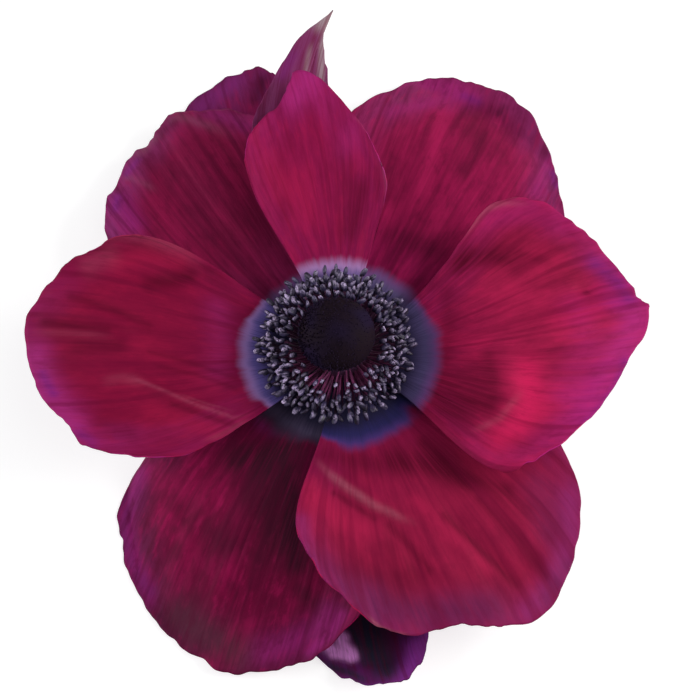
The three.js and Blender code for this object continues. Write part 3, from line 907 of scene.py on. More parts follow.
PETAL_FORMS = (
    PetalForm(
        name="petal_rear_curled", slot=Slot.WINE, azimuth=277.9, length=44.0, left=7.0,
        right=11.5, shoulder=0.74, roundness=1.86, flare=0.9, bend=-1.5,
        heights=(8.0, 5.2, 0.4, -1.6), cup_left=7.5, cup_right=0.8, cup_growth=4.0,
        tip_curl=6.5, seed=1, tinge=(0.9, 0.9, 0.9, 0.6, 0.4),
        nudges=(Nudge(-0.33, 0.08, -0.25, 0.2),),
        marks=(
            *marks(Tone.VIOLET, (0.8, 1.6, ((10.8, -40.6), (10.4, -43.8), (9.0, -45.8)))),
            *marks(Tone.MAGENTA, (1.0, 0.8, ((-1.6, -40.8), (0.5, -41.2), (1.9, -41.7))),
                   (1.0, 0.7, ((0.0, -39.4), (1.1, -40.9), (2.1, -42.1))),
                   (0.8, 0.5, ((-0.9, -41.9), (1.0, -42.1), (1.9, -42.4))),
                   (1.0, 0.6, ((-0.4, -38.6), (0.9, -39.3)))),
            # These shade marks paint the curl's hollow in shade, along with its own dark purple.
            *marks(Tone.SHADE, (0.95, 1.9, ((4.6, -37.5), (5.4, -41.3), (6.6, -44.6))),
                   (0.9, 1.2, ((3.6, -36.6), (4.3, -39.5), (4.9, -42.3))),
                   (1.0, 0.4, ((1.7, -38.0), (3.0, -40.6), (3.8, -43.6))),
                   (0.8, 0.6, ((-2.0, -43.2), (1.0, -44.4), (3.5, -46.0)))),
        ),
        # The dark core and the bluish shade colour are partly painted shade in the hollow.
        velvet=replace(WINE, core=(0.06, 0.008, 0.05), edge=(0.12, 0.016, 0.14),
                       violet=(0.26, 0.035, 0.3), shade=(0.014, 0.018, 0.036),
                       magenta=(0.85, 0.33, 0.85), glow=(0.1, 0.01, 0.09), seed=1),
    ),
    PetalForm(
        name="petal_rear_upper_left", slot=Slot.WINE, azimuth=109.6, length=50.5, left=15.7,
        right=9.1, shoulder=0.67, roundness=2.26, flare=0.8, bend=2.7,
        heights=(8.0, 6.4, 2.8, -2.6), cup_left=0.5, cup_right=0.0,
        ripple=Ripple(0.4, 2.0, 0.6), lobes=((0.008, 2.5, 0.4),), seed=2,
        tinge=(0.9, 1.0, 0.8, 0.3, 0.2),
        marks=(
            *marks(Tone.VIOLET, (0.7, 1.4, ((-22.2, 45.5), (-16.3, 50.4))),
                   (0.6, 1.1, ((-21.5, 43.4), (-15.5, 42.6), (-11.5, 41.6)))),
            *marks(Tone.SHADE, (0.6, 1.2, ((-12.2, 50.3), (-13.3, 47.0)))),
        ),
        velvet=replace(WINE, core=(0.13, 0.006, 0.05), edge=(0.16, 0.02, 0.11),
                       violet=(0.2, 0.02, 0.15), edge_depth=10.0, seed=2),
    ),
    PetalForm(
        name="petal_back_upper_left", slot=Slot.WINE, azimuth=130.1, length=46.4, left=17.2,
        right=15.3, shoulder=0.64, roundness=1.6, flare=0.8, bend=5.3,
        heights=(9.0, 8.8, 7.4, 3.4), cup_left=-0.8, cup_right=-0.3,
        ripple=Ripple(0.7, 2.6, 0.5), seed=3, tinge=(0.9, 1.0, 0.5, 0.3, 0.2),
        lobes=((0.022, 1.5, -1.6), (0.008, 3.0, 0.1), (0.009, 5.0, 0.0)),
        nudges=(Nudge(-0.58, 0.07, 0.6, -0.3), Nudge(-0.18, 0.04, -0.35),
                Nudge(-0.07, 0.05, 0.45, -0.1), Nudge(0.08, 0.05, -0.6)),
        marks=(
            *marks(Tone.GLOW, (0.35, 2.0, ((-27.2, 26.7), (-24.7, 21.4), (-20.6, 16.1))),
                   (0.35, 1.8, ((-31.5, 25.5), (-30.6, 21.0))),
                   (0.4, 2.3, ((-19.5, 36.5), (-17.0, 32.5), (-14.6, 28.5)))),
            *marks(Tone.MAGENTA, (0.75, 1.9, ((-33.0, 27.0), (-31.2, 22.5))),
                   (0.5, 1.5, ((-20.0, 42.4), (-16.9, 41.3), (-14.4, 39.6)))),
            *marks(Tone.VIOLET, (0.6, 0.7, ((-33.9, 25.6), (-33.7, 27.7))),
                   (0.5, 0.6, ((-32.6, 32.3), (-30.9, 34.8)))),
            # The faint first shade mark paints the shadow of the petals above, near the claw.
            *marks(Tone.SHADE, (0.12, 1.8, ((-12.5, 21.5), (-13.8, 25.5))),
                   (0.4, 1.1, ((-27.4, 38.9), (-25.2, 41.2)))),
            *marks(Tone.PALE_AND_SHEEN, (0.5, 0.9, ((-32.0, 34.6), (-29.8, 37.4), (-27.6, 40.0))),
                   (0.35, 0.9, ((-28.5, 41.6), (-24.5, 41.4), (-20.5, 40.0), (-15.6, 37.2))),
                   (0.3, 0.5, ((-34.0, 32.0), (-31.2, 31.1), (-27.0, 28.0)))),
        ),
        velvet=replace(WINE, core=(0.21, 0.0075, 0.05), edge=(0.28, 0.034, 0.165),
                       foot=(0.31, 0.017, 0.106), magenta=(0.3, 0.02, 0.17), violet=(0.24, 0.025, 0.24),
                       pale_and_sheen=(0.3, 0.09, 0.17), seed=3),
    ),
    PetalForm(
        name="petal_back_lower_left", slot=Slot.WINE, azimuth=244.2, length=43.3, left=18.1,
        right=21.9, shoulder=0.64, roundness=1.78, flare=0.72, bend=-2.8,
        heights=(10.0, 9.2, 5.4, 0.8), cup_left=3.4, cup_right=-8.0,
        ripple=Ripple(0.6, 2.4, 2.4), lobes=((0.011, 1.5, 1.5), (0.003, 3.0, 2.5)), seed=4,
        nudges=(Nudge(-0.51, 0.06, 0.3, -0.25), Nudge(-0.24, 0.07, -0.45, 0.2), Nudge(0.06, 0.04, -0.5),
                Nudge(0.33, 0.06, 0.3, 0.1), Nudge(0.72, 0.08, -0.3, -0.3)),
        tinge=(0.4, 0.7, 0.5, 0.9, 0.7),
        marks=(
            *marks(Tone.GLOW, (0.4, 0.35, ((-21.9, -22.3), (-19.2, -20.4))),
                   (0.4, 0.35, ((-20.8, -23.9), (-16.9, -21.2))),
                   (0.5, 1.7, ((-27.7, -15.4), (-24.3, -18.0), (-20.7, -20.1))),
                   (0.35, 1.3, ((-25.5, -21.5), (-22.3, -26.0))),
                   (0.15, 1.2, ((-19.5, -17.7), (-15.4, -20.6), (-14.0, -24.0)))),
            *marks(Tone.BARE, (0.6, 1.5, ((-4.5, -14.0), (-3.2, -15.5)))),
            *marks(Tone.MAGENTA,
                   (0.75, 1.5, ((-29.4, -15.4), (-31.2, -20.5), (-30.3, -26.9), (-27.1, -33.9))),
                   (0.75, 1.9, ((-11.0, -42.0), (-4.5, -40.2), (-1.5, -37.5))),
                   (1.0, 0.8, ((-4.2, -42.3), (-1.2, -40.2), (0.6, -37.8)))),
            *marks(Tone.VIOLET,
                   (0.5, 0.9, ((-31.4, -18.2), (-31.5, -23.5), (-30.2, -28.4), (-27.4, -32.6))),
                   (0.25, 1.6, ((-28.6, -15.9), (-29.6, -20.0))),
                   (0.5, 1.2, ((-11.2, -9.8), (-9.2, -11.2)))),
            *marks(Tone.PALE_AND_SHEEN,
                   (0.5, 2.6, ((-28.0, -32.0), (-21.0, -38.0), (-14.2, -42.0), (-10.0, -41.0)))),
            # The broad dark marks near the claw paint the shadow of the petals and stamens above and
            # the shade of the crevice beside the next petal, along with the petal's own dark wine.
            *marks(Tone.SHADE, (0.9, 2.7, ((-6.5, -13.4), (-10.0, -15.0), (-14.3, -14.8))),
                   (0.7, 3.6, ((-10.5, -16.0), (-10.5, -20.0), (-9.0, -25.5))),
                   (0.9, 2.2, ((-7.4, -17.0), (-6.6, -24.1), (-6.0, -29.7))),
                   (0.5, 1.2, ((-5.5, -33.8), (-3.8, -35.5))), (0.5, 0.6, ((-23.8, -24.1),)),
                   (0.3, 1.7, ((-21.6, -20.3), (-17.1, -26.4), (-11.3, -29.5))),
                   (0.55, 2.4, ((-24.6, -35.7), (-16.0, -41.3)))),
        ),
        velvet=replace(WINE, core=(0.17, 0.003, 0.038), edge=(0.108, 0.012, 0.058),
                       edge_depth=10.0, glow=(0.38, 0.007, 0.085), pale_and_sheen=(0.11, 0.03, 0.055),
                       shade=(0.038, 0.006, 0.017), cloud_strength=0.4, vein_strength=0.4,
                       magenta=(0.29, 0.016, 0.15), violet=(0.17, 0.02, 0.14), mottle_strength=0.42,
                       halo=(0.075, 0.055, 0.11), halo_rim=(0.055, 0.025, 0.06),
                       halo_deep=(0.02, 0.018, 0.045), seed=4),
    ),
    PetalForm(
        name="petal_back_upper_right", slot=Slot.WINE, azimuth=56.0, length=50.8, left=18.0,
        right=20.1, shoulder=0.58, roundness=1.79, flare=0.8, bend=-7.9,
        heights=(10.0, 9.8, 6.4, -4.2), cup_left=0.4, cup_right=-0.4,
        ripple=Ripple(0.6, 2.2, 1.0), lobes=((0.012, 1.5, 0.2), (0.009, 3.0, -1.0)), seed=5,
        nudges=(Nudge(-0.46, 0.1, 0.6, -0.4), Nudge(0.47, 0.06, 0.25, 0.15)),
        tinge=(0.4, 0.7, 0.6, 0.8, 0.6), halo_reach=14.6,
        marks=(
            *marks(Tone.GLOW, (0.55, 1.2, ((15.7, 43.6), (14.5, 35.2), (12.7, 27.5))),
                   (0.3, 1.2, ((13.5, 29.4), (11.2, 24.8)))),
            *marks(Tone.MAGENTA, (0.5, 1.3, ((7.7, 41.8), (17.3, 47.4))),
                   (0.95, 1.8, ((12.5, 50.2), (17.6, 49.0), (20.6, 47.0))),
                   (0.3, 1.7, ((13.0, 45.4), (17.0, 44.9))),
                   (0.6, 1.4, ((32.5, 35.5), (29.9, 29.0)))),
            *marks(Tone.VIOLET, (0.5, 0.7, ((19.6, 47.7), (21.6, 46.6))),
                   (0.6, 0.6, ((32.9, 33.9), (33.2, 31.0)))),
            # Some shade marks paint the shadow of the front petals that lie over this one.
            *marks(Tone.SHADE, (0.45, 2.2, ((20.6, 44.6), (20.9, 37.9), (18.6, 31.5))),
                   (0.2, 2.8, ((23.5, 39.0), (25.5, 33.0), (23.0, 26.0))),
                   (0.2, 1.3, ((22.6, 45.6), (25.6, 43.6), (28.2, 40.6))),
                   (0.4, 0.7, ((24.8, 44.6), (25.9, 45.7))),
                   (0.4, 2.2, ((14.5, 16.9), (10.7, 18.7), (8.4, 19.6))),
                   (0.3, 2.2, ((8.0, 26.3), (8.0, 35.5), (9.5, 39.5)))),
        ),
        velvet=replace(WINE, core=(0.31, 0.0075, 0.068), glow=(0.46, 0.013, 0.1),
                       foot=(0.26, 0.006, 0.075), edge=(0.19, 0.026, 0.125), edge_depth=8.5,
                       halo_rim=(0.2, 0.085, 0.27), halo=(0.15, 0.11, 0.27), seed=5),
    ),
    PetalForm(
        name="petal_middle_pointed", slot=Slot.CRIMSON, azimuth=103.5, length=48.8, left=7.5,
        right=4.4, shoulder=0.72, roundness=1.22, flare=1.0, bend=10.7, bend_power=3.5,
        heights=(11.0, 11.6, 12.6, 17.0), cup_left=0.3, cup_right=0.3, seed=6,
        nudges=(Nudge(-1.0, 0.8, 0.0, 1.9, 0.28), Nudge(-1.0, 0.8, 0.0, 0.75, 0.45),
                Nudge(-0.38, 0.12, 0.3, -0.35), Nudge(-0.13, 0.1, 0.0, 0.4),
                Nudge(0.03, 0.1, 0.25, 0.95), Nudge(0.38, 0.18, 0.0, -0.75)),
        tinge=(0.3, 0.4, 0.5, 0.4, 0.3),
        marks=(
            *marks(Tone.VIOLET, (0.4, 0.9, ((-7.0, 47.0), (-8.6, 43.9)))),
            *marks(Tone.SHADE, (0.2, 0.9, ((-10.7, 41.0), (-11.6, 38.9)))),
            *marks(Tone.PALE_AND_SHEEN, (0.8, 0.5, ((-2.0, 51.5), (-2.6, 48.5), (-2.8, 43.8), (-2.6, 41.0))),
                   (0.5, 0.35, ((-4.2, 49.5), (-5.0, 45.5), (-5.4, 41.8))),
                   (1.0, 1.7, ((-1.2, 56.6), (-1.9, 53.0), (-3.0, 49.5)))),
        ),
        # Its dark foot, at full strength, is partly painted shade beside the petal above.
        velvet=replace(CRIMSON, core=(0.2, 0.023, 0.105), edge=(0.22, 0.05, 0.15),
                       glow=(0.3, 0.075, 0.2), foot=(0.11, 0.004, 0.036),
                       foot_strength=1.0, pale_and_sheen=(0.4, 0.3, 0.33), seed=6),
    ),
    PetalForm(
        name="petal_middle_lower_right", slot=Slot.CRIMSON, azimuth=303.1, length=44.7,
        left=20.3, right=19.2, shoulder=0.38, roundness=1.83, flare=1.29, bend=2.3,
        heights=(11.0, 12.0, 11.6, 8.0), cup_left=-0.5, cup_right=3.0,
        ripple=Ripple(0.8, 2.5, 0.2), seed=7, tinge=(0.5, 0.8, 0.7, 0.8, 0.3), halo_reach=14.5,
        lobes=((0.074, 1.5, -2.3), (0.012, 3.0, 2.3), (0.003, 5.0, 0.1)),
        nudges=(Nudge(-0.22, 0.07, 0.3), Nudge(-0.12, 0.06, 0.5, 0.1)),
        folds=(
            Fold(((-3.6, -15.6), (0.9, -20.4), (5.1, -23.1), (10.4, -26.2)), 1.0, 0.6),
            Fold(((6.0, -25.6), (10.0, -30.0), (13.0, -35.0)), 1.1, -0.4),
            Fold(((10.6, -22.4), (15.5, -27.5), (21.3, -33.2)), 1.2, 0.35),
            Fold(((14.5, -22.5), (19.8, -28.6), (26.0, -35.0)), 1.1, -0.4),
        ),
        marks=(
            # The glow marks on the raised left part and along the ridge are partly painted light.
            *marks(Tone.GLOW, (0.75, 2.1, ((-3.0, -22.3), (-0.6, -24.9), (2.9, -27.0))),
                   (0.4, 1.3, ((-3.8, -20.5), (-4.6, -24.5), (-3.6, -27.5))),
                   (0.45, 1.0, ((10.6, -22.4), (15.5, -27.5), (21.3, -32.2))),
                   (0.3, 1.2, ((3.6, -19.1), (7.8, -20.2)))),
            *marks(Tone.BARE, (0.8, 1.5, ((-3.2, -13.4), (-1.6, -14.4))),
                   (0.5, 1.0, ((9.2, -8.0), (10.6, -8.6)))),
            *marks(Tone.MAGENTA, (0.6, 1.2, ((-5.2, -26.2), (-4.4, -31.4), (-1.4, -35.3))),
                   (0.8, 1.7, ((32.8, -21.5), (32.9, -27.5), (30.6, -33.0), (26.8, -37.6)))),
            *marks(Tone.VIOLET, (0.55, 1.5, ((0.5, -36.2), (3.0, -38.0), (4.4, -39.7))),
                   (0.6, 2.4, ((6.0, -38.0), (13.0, -38.6), (21.3, -37.4))),
                   (0.45, 2.2, ((-4.1, -31.7), (0.8, -34.9), (4.7, -36.0))),
                   (0.4, 2.4, ((28.0, -20.5), (29.5, -26.0))),
                   (0.4, 1.1, ((32.3, -31.1), (29.1, -36.0)))),
            # Shade marks along the grooves and under the margin of the petal above are painted shade
            # and shadow, with the petal's own darker base.
            *marks(Tone.SHADE, (0.5, 1.6, ((-1.4, -15.7), (4.3, -16.7), (11.4, -17.2), (18.5, -19.7))),
                   (0.5, 2.2, ((8.0, -15.5), (14.0, -17.0))), (0.22, 2.2, ((2.5, -18.3), (9.0, -18.2))),
                   (0.55, 1.3, ((12.2, -13.7), (18.5, -19.1), (23.6, -20.8))),
                   (0.5, 0.5, ((-0.6, -21.5), (2.2, -23.4), (5.0, -25.2))),
                   (0.4, 0.7, ((7.1, -26.2), (9.9, -29.0), (12.8, -32.6))),
                   (0.5, 0.6, ((14.9, -24.6), (19.8, -29.2), (25.0, -34.0))),
                   (0.4, 0.7, ((19.8, -22.3), (25.6, -27.8), (29.2, -32.6))),
                   (0.2, 1.9, ((7.2, -37.0), (14.2, -38.2), (21.3, -37.8))),
                   (0.3, 1.9, ((1.5, -33.0), (8.6, -34.1))),
                   (0.3, 1.7, ((7.0, -29.2), (10.8, -33.4))),
                   (0.3, 1.8, ((23.5, -21.5), (26.5, -23.5)))),
            # The pale line on the ridge and the one along the lower margin are painted highlights.
            *marks(Tone.PALE_AND_SHEEN, (0.5, 0.5, ((-4.0, -15.6), (-1.5, -18.6), (1.2, -20.8), (4.7, -23.2),
                                           (8.4, -24.9), (12.0, -26.4))),
                   (0.9, 0.3, ((3.6, -39.2), (5.6, -40.9), (7.6, -41.6), (10.4, -42.0)))),
        ),
        velvet=replace(CRIMSON, core=(0.28, 0.0085, 0.048), glow=(0.44, 0.013, 0.07),
                       edge=(0.23, 0.015, 0.1), magenta=(0.3, 0.024, 0.145),
                       violet=(0.15, 0.021, 0.1), pale_and_sheen=(0.38, 0.1, 0.15), halo=(0.024, 0.021, 0.1),
                       halo_rim=(0.06, 0.03, 0.155), seed=7),
    ),
    PetalForm(
        name="petal_front_top", slot=Slot.CRIMSON, azimuth=93.6, length=39.8, left=10.5,
        right=10.2, shoulder=0.61, roundness=1.35, flare=1.53, bend=-4.3, halo_reach=13.7,
        heights=(12.0, 14.2, 16.2, 16.6), cup_left=1.6, cup_right=1.2,
        ripple=Ripple(0.3, 2.0, 0.5), lobes=((0.043, 1.5, 0.0),), seed=8,
        nudges=(Nudge(-0.95, 0.15, 0.0, 0.6), Nudge(-0.27, 0.15, -0.2, 0.32)),
        tinge=(0.1, 0.3, 0.9, 0.3, 0.1),
        marks=(
            # Glow on the left half and shade on the right half paint how the cupped petal's halves face
            # the light; the pale line on the right margin is a painted highlight.
            *marks(Tone.GLOW, (0.4, 2.3, ((-7.3, 25.8), (-5.1, 20.6))),
                   (0.3, 1.8, ((-10.5, 28.4), (-9.0, 23.6)))),
            *marks(Tone.MAGENTA, (0.5, 2.4, ((-4.4, 43.4), (-6.0, 39.6))),
                   (0.22, 1.6, ((1.6, 33.3), (0.9, 30.4)))),
            *marks(Tone.SHADE, (0.5, 2.0, ((3.2, 24.3), (1.5, 18.4))),
                   (0.25, 1.6, ((1.0, 29.5), (1.8, 25.5))),
                   (0.22, 1.5, ((-9.0, 27.0), (-7.8, 21.5))),
                   (0.3, 0.7, ((5.6, 27.4), (5.9, 23.0)))),
            *marks(Tone.PALE_AND_SHEEN, (0.3, 0.28, ((0.9, 36.6), (3.0, 35.0), (5.2, 32.1), (6.8, 27.9),
                                          (7.0, 23.4), (6.3, 20.0)))),
        ),
        velvet=replace(CRIMSON, core=(0.27, 0.007, 0.064), edge=(0.36, 0.02, 0.165),
                       magenta=(0.5, 0.03, 0.24), pale_and_sheen=(0.5, 0.1, 0.25), rib_strength=0.2,
                       halo=(0.2, 0.13, 0.36), halo_rim=(0.38, 0.2, 0.45), seed=8),
    ),
    PetalForm(
        name="petal_front_right", slot=Slot.CRIMSON, azimuth=-0.5, length=41.4, left=19.7,
        right=21.7, shoulder=0.52, roundness=1.44, flare=1.51, bend=-8.0,
        heights=(12.0, 14.0, 14.8, 11.5), cup_left=2.2, cup_right=2.6,
        ripple=Ripple(0.9, 2.6, 1.2), seed=9, tinge=(0.3, 0.7, 1.0, 0.8, 0.2), halo_reach=14.5,
        lobes=((0.023, 1.5, -0.3), (0.006, 3.0, 0.3), (0.003, 5.0, -0.3)),
        nudges=(Nudge(-1.0, 0.25, -0.7, -0.95, 0.84), Nudge(-0.63, 0.08, -0.25, 0.35),
                Nudge(-0.15, 0.05, 0.25, -0.15), Nudge(0.2, 0.05, 0.3),
                Nudge(0.31, 0.06, -0.65, -0.3), Nudge(0.54, 0.05, -0.3, -0.2)),
        folds=(
            Fold(((14.0, 11.5), (22.0, 14.0), (31.0, 13.5)), 1.8, -0.6),
            Fold(((33.6, 8.9), (38.0, 9.3)), 1.1, -0.4),
            Fold(((21.5, 2.0), (23.9, -4.5), (24.2, -9.0), (21.0, -14.0)), 2.0, 0.6),
        ),
        marks=(
            # The strong glow marks beyond the crest paint the light on the side that faces the lamps,
            # along with brighter crimson.
            *marks(Tone.GLOW, (0.85, 2.1, ((27.0, -3.4), (27.6, -8.3), (25.4, -12.4), (22.7, -14.8))),
                   (0.3, 2.0, ((31.9, 3.8), (38.0, 5.7))),
                   (0.3, 1.2, ((39.8, -2.2), (38.4, -6.4), (36.2, -9.6)))),
            *marks(Tone.MAGENTA,
                   (0.75, 2.3, ((39.9, 7.5), (43.3, 4.6), (40.8, 0.1), (37.2, -6.2), (34.5, -11.8))),
                   (0.35, 2.6, ((34.5, 6.0), (36.0, 0.0), (32.5, -7.0))),
                   (0.2, 1.4, ((22.0, 19.1), (27.9, 19.4), (32.2, 17.7)))),
            *marks(Tone.VIOLET, (0.6, 1.4, ((37.4, 13.4), (41.0, 10.6), (42.2, 8.1))),
                   (0.55, 0.9, ((35.4, -12.0), (37.8, -8.9), (40.1, -5.3), (41.4, -1.8)))),
            # The broad shade marks near the claw paint the shadow of the stamens and the dark side of
            # the crest, along with a darker base; others lie in the valley of the upper fold as painted
            # shade.
            *marks(Tone.SHADE, (0.5, 3.0, ((12.5, -5.0), (16.5, -5.8), (19.6, -4.8))),
                   (0.45, 2.4, ((13.4, -9.6), (18.6, -9.4))),
                   (0.25, 0.9, ((21.6, -1.5), (22.3, -5.4), (21.8, -9.6))),
                   (0.45, 2.4, ((14.2, -7.0), (17.5, -8.9), (20.4, -8.6))),
                   (0.5, 1.3, ((17.8, 13.2), (21.9, 14.0), (25.2, 13.1))),
                   (0.3, 3.2, ((15.5, 10.5), (19.5, 14.5), (23.0, 14.5))),
                   (0.4, 1.3, ((17.2, 12.2), (18.7, 15.0))),
                   (0.22, 2.8, ((27.5, 17.5), (33.0, 14.8), (38.0, 10.5))),
                   (0.25, 2.3, ((24.8, 12.4), (29.4, 10.6), (33.0, 10.8))),
                   (0.22, 1.8, ((17.5, -12.8), (22.0, -15.0), (26.5, -16.2))),
                   (0.25, 1.7, ((14.4, -11.0), (17.5, -13.2))),
                   (0.35, 0.9, ((26.4, 14.1), (30.4, 13.0))), (0.5, 0.6, ((36.1, 8.6),)),
                   (0.3, 1.2, ((15.4, 9.1), (16.2, 2.8), (15.4, -1.8)))),
            *marks(Tone.BARE, (0.5, 1.5, ((12.2, 8.2), (13.9, 6.2)))),
            # The pale lines paint highlights along the crease and the rolled upper margin.
            *marks(Tone.PALE_AND_SHEEN, (0.22, 0.5, ((26.8, -6.2), (23.0, -11.4), (18.1, -13.6))),
                   (0.5, 0.5, ((17.2, 16.1), (19.1, 18.6), (21.4, 20.9), (23.8, 21.7), (29.0, 21.2)))),
        ),
        velvet=replace(CRIMSON, core=(0.37, 0.0115, 0.064), magenta=(0.42, 0.019, 0.18),
                       edge=(0.38, 0.017, 0.16), glow=(0.64, 0.015, 0.1), pale_and_sheen=(0.5, 0.1, 0.17),
                       halo=(0.078, 0.058, 0.16), halo_rim=(0.12, 0.05, 0.18), seed=9),
    ),
    PetalForm(
        name="petal_front_left", slot=Slot.CRIMSON, azimuth=182.8, length=40.1, left=17.7,
        right=16.6, shoulder=0.62, roundness=2.48, flare=1.09, bend=3.5,
        heights=(12.0, 13.8, 14.4, 12.0), cup_left=2.4, cup_right=2.0,
        ripple=Ripple(0.9, 2.8, -0.6), seed=10, tinge=(0.2, 0.7, 0.5, 0.1, 0.1),
        lobes=((0.031, 1.5, 1.6), (0.012, 3.0, 1.4), (0.008, 5.0, -0.2)),
        nudges=(Nudge(-0.66, 0.06, 0.1, -0.35), Nudge(0.46, 0.06, -0.3), Nudge(0.76, 0.08, -0.1, -0.4)),
        folds=(
            Fold(((-34.5, -5.2), (-29.3, -4.6), (-25.1, -7.3), (-20.3, -9.2), (-14.9, -10.8),
                  (-10.0, -9.3)), 0.9, 0.5),
            Fold(((-17.5, 12.0), (-21.8, 11.0), (-27.5, 9.5)), 1.6, -0.6),
            Fold(((-27.5, 3.2), (-33.2, 5.7), (-38.9, 7.8)), 0.8, -0.35),
            Fold(((-28.5, 1.9), (-33.5, 2.8), (-42.8, 4.6)), 0.8, -0.35),
        ),
        marks=(
            *marks(Tone.GLOW, (0.5, 1.5, ((-32.7, 13.1), (-27.6, 13.6), (-23.2, 13.0))),
                   (0.4, 1.4, ((-26.9, -10.1), (-19.8, -12.2), (-17.6, -13.0))),
                   (0.35, 1.2, ((-29.4, 0.3), (-24.3, -2.3), (-17.8, -5.8)))),
            *marks(Tone.BARE, (0.8, 1.6, ((-14.2, 6.3), (-12.8, 8.0), (-11.8, 9.6))),
                   (0.5, 1.1, ((-11.4, -8.6), (-9.4, -10.4)))),
            *marks(Tone.MAGENTA, (0.65, 2.2, ((-44.0, -0.5), (-42.2, -6.2), (-37.9, -12.4))),
                   (0.25, 2.2, ((-17.5, 6.0), (-17.0, 0.5), (-17.5, -3.5)))),
            *marks(Tone.VIOLET, (0.6, 0.8, ((-42.9, -3.1), (-40.9, -6.9))),
                   (0.5, 0.9, ((-36.7, -13.5), (-34.8, -15.1)))),
            # Several shade marks run along the creases and beside the ridge, as painted shade there.
            *marks(Tone.SHADE, (0.7, 1.3, ((-27.5, 9.5), (-24.7, 10.3), (-21.8, 11.0))),
                   (0.45, 0.7, ((-38.9, 7.8), (-33.2, 5.7), (-27.5, 3.2))),
                   (0.5, 0.6, ((-42.8, 4.6), (-37.6, 3.4), (-33.5, 2.8))),
                   (0.4, 1.4, ((-37.5, 0.6), (-31.9, 0.4))),
                   (0.35, 1.5, ((-33.9, -12.5), (-29.6, -13.6))),
                   (0.35, 0.4, ((-27.2, -0.8), (-21.5, -2.3), (-15.0, -4.6))),
                   (0.35, 0.4, ((-25.7, -3.0), (-20.0, -4.4), (-14.5, -6.4))),
                   (0.4, 0.4, ((-23.9, -8.9), (-19.1, -10.6), (-14.8, -11.9))),
                   (0.3, 1.5, ((-18.6, 11.3), (-15.2, 7.6)))),
            # The pale marks along the ridge and the upper margin are painted highlight and sheen.
            *marks(Tone.PALE_AND_SHEEN,
                   (0.22, 0.8, ((-34.5, -5.4), (-31.0, -4.7), (-27.0, -6.0))),
                   (0.36, 0.25, ((-32.6, -5.3), (-29.3, -5.0), (-25.1, -7.2), (-20.3, -9.2),
                                 (-14.9, -10.8), (-11.2, -9.4))),
                   (0.25, 0.2, ((-23.3, -7.4), (-19.1, -8.9), (-14.2, -10.0))),
                   (0.25, 0.4, ((-12.0, -10.4), (-16.0, -12.9), (-20.0, -15.2))),
                   (0.35, 1.3, ((-38.0, 17.6), (-33.1, 17.4), (-27.9, 16.6), (-22.6, 14.9),
                                (-18.3, 11.9))),
                   (0.25, 1.8, ((-38.4, 11.0), (-35.0, 13.5), (-31.0, 15.0))),
                   (0.2, 0.5, ((-45.8, 3.6), (-38.3, 2.4), (-31.4, 1.4)))),
        ),
        velvet=replace(CRIMSON, core=(0.23, 0.0048, 0.038), glow=(0.38, 0.009, 0.054),
                       pale_and_sheen=(0.38, 0.07, 0.13), magenta=(0.42, 0.029, 0.215),
                       edge=(0.34, 0.02, 0.165),
                       halo_rim=(0.32, 0.18, 0.47), halo=(0.145, 0.108, 0.38), seed=10),
    ),
)


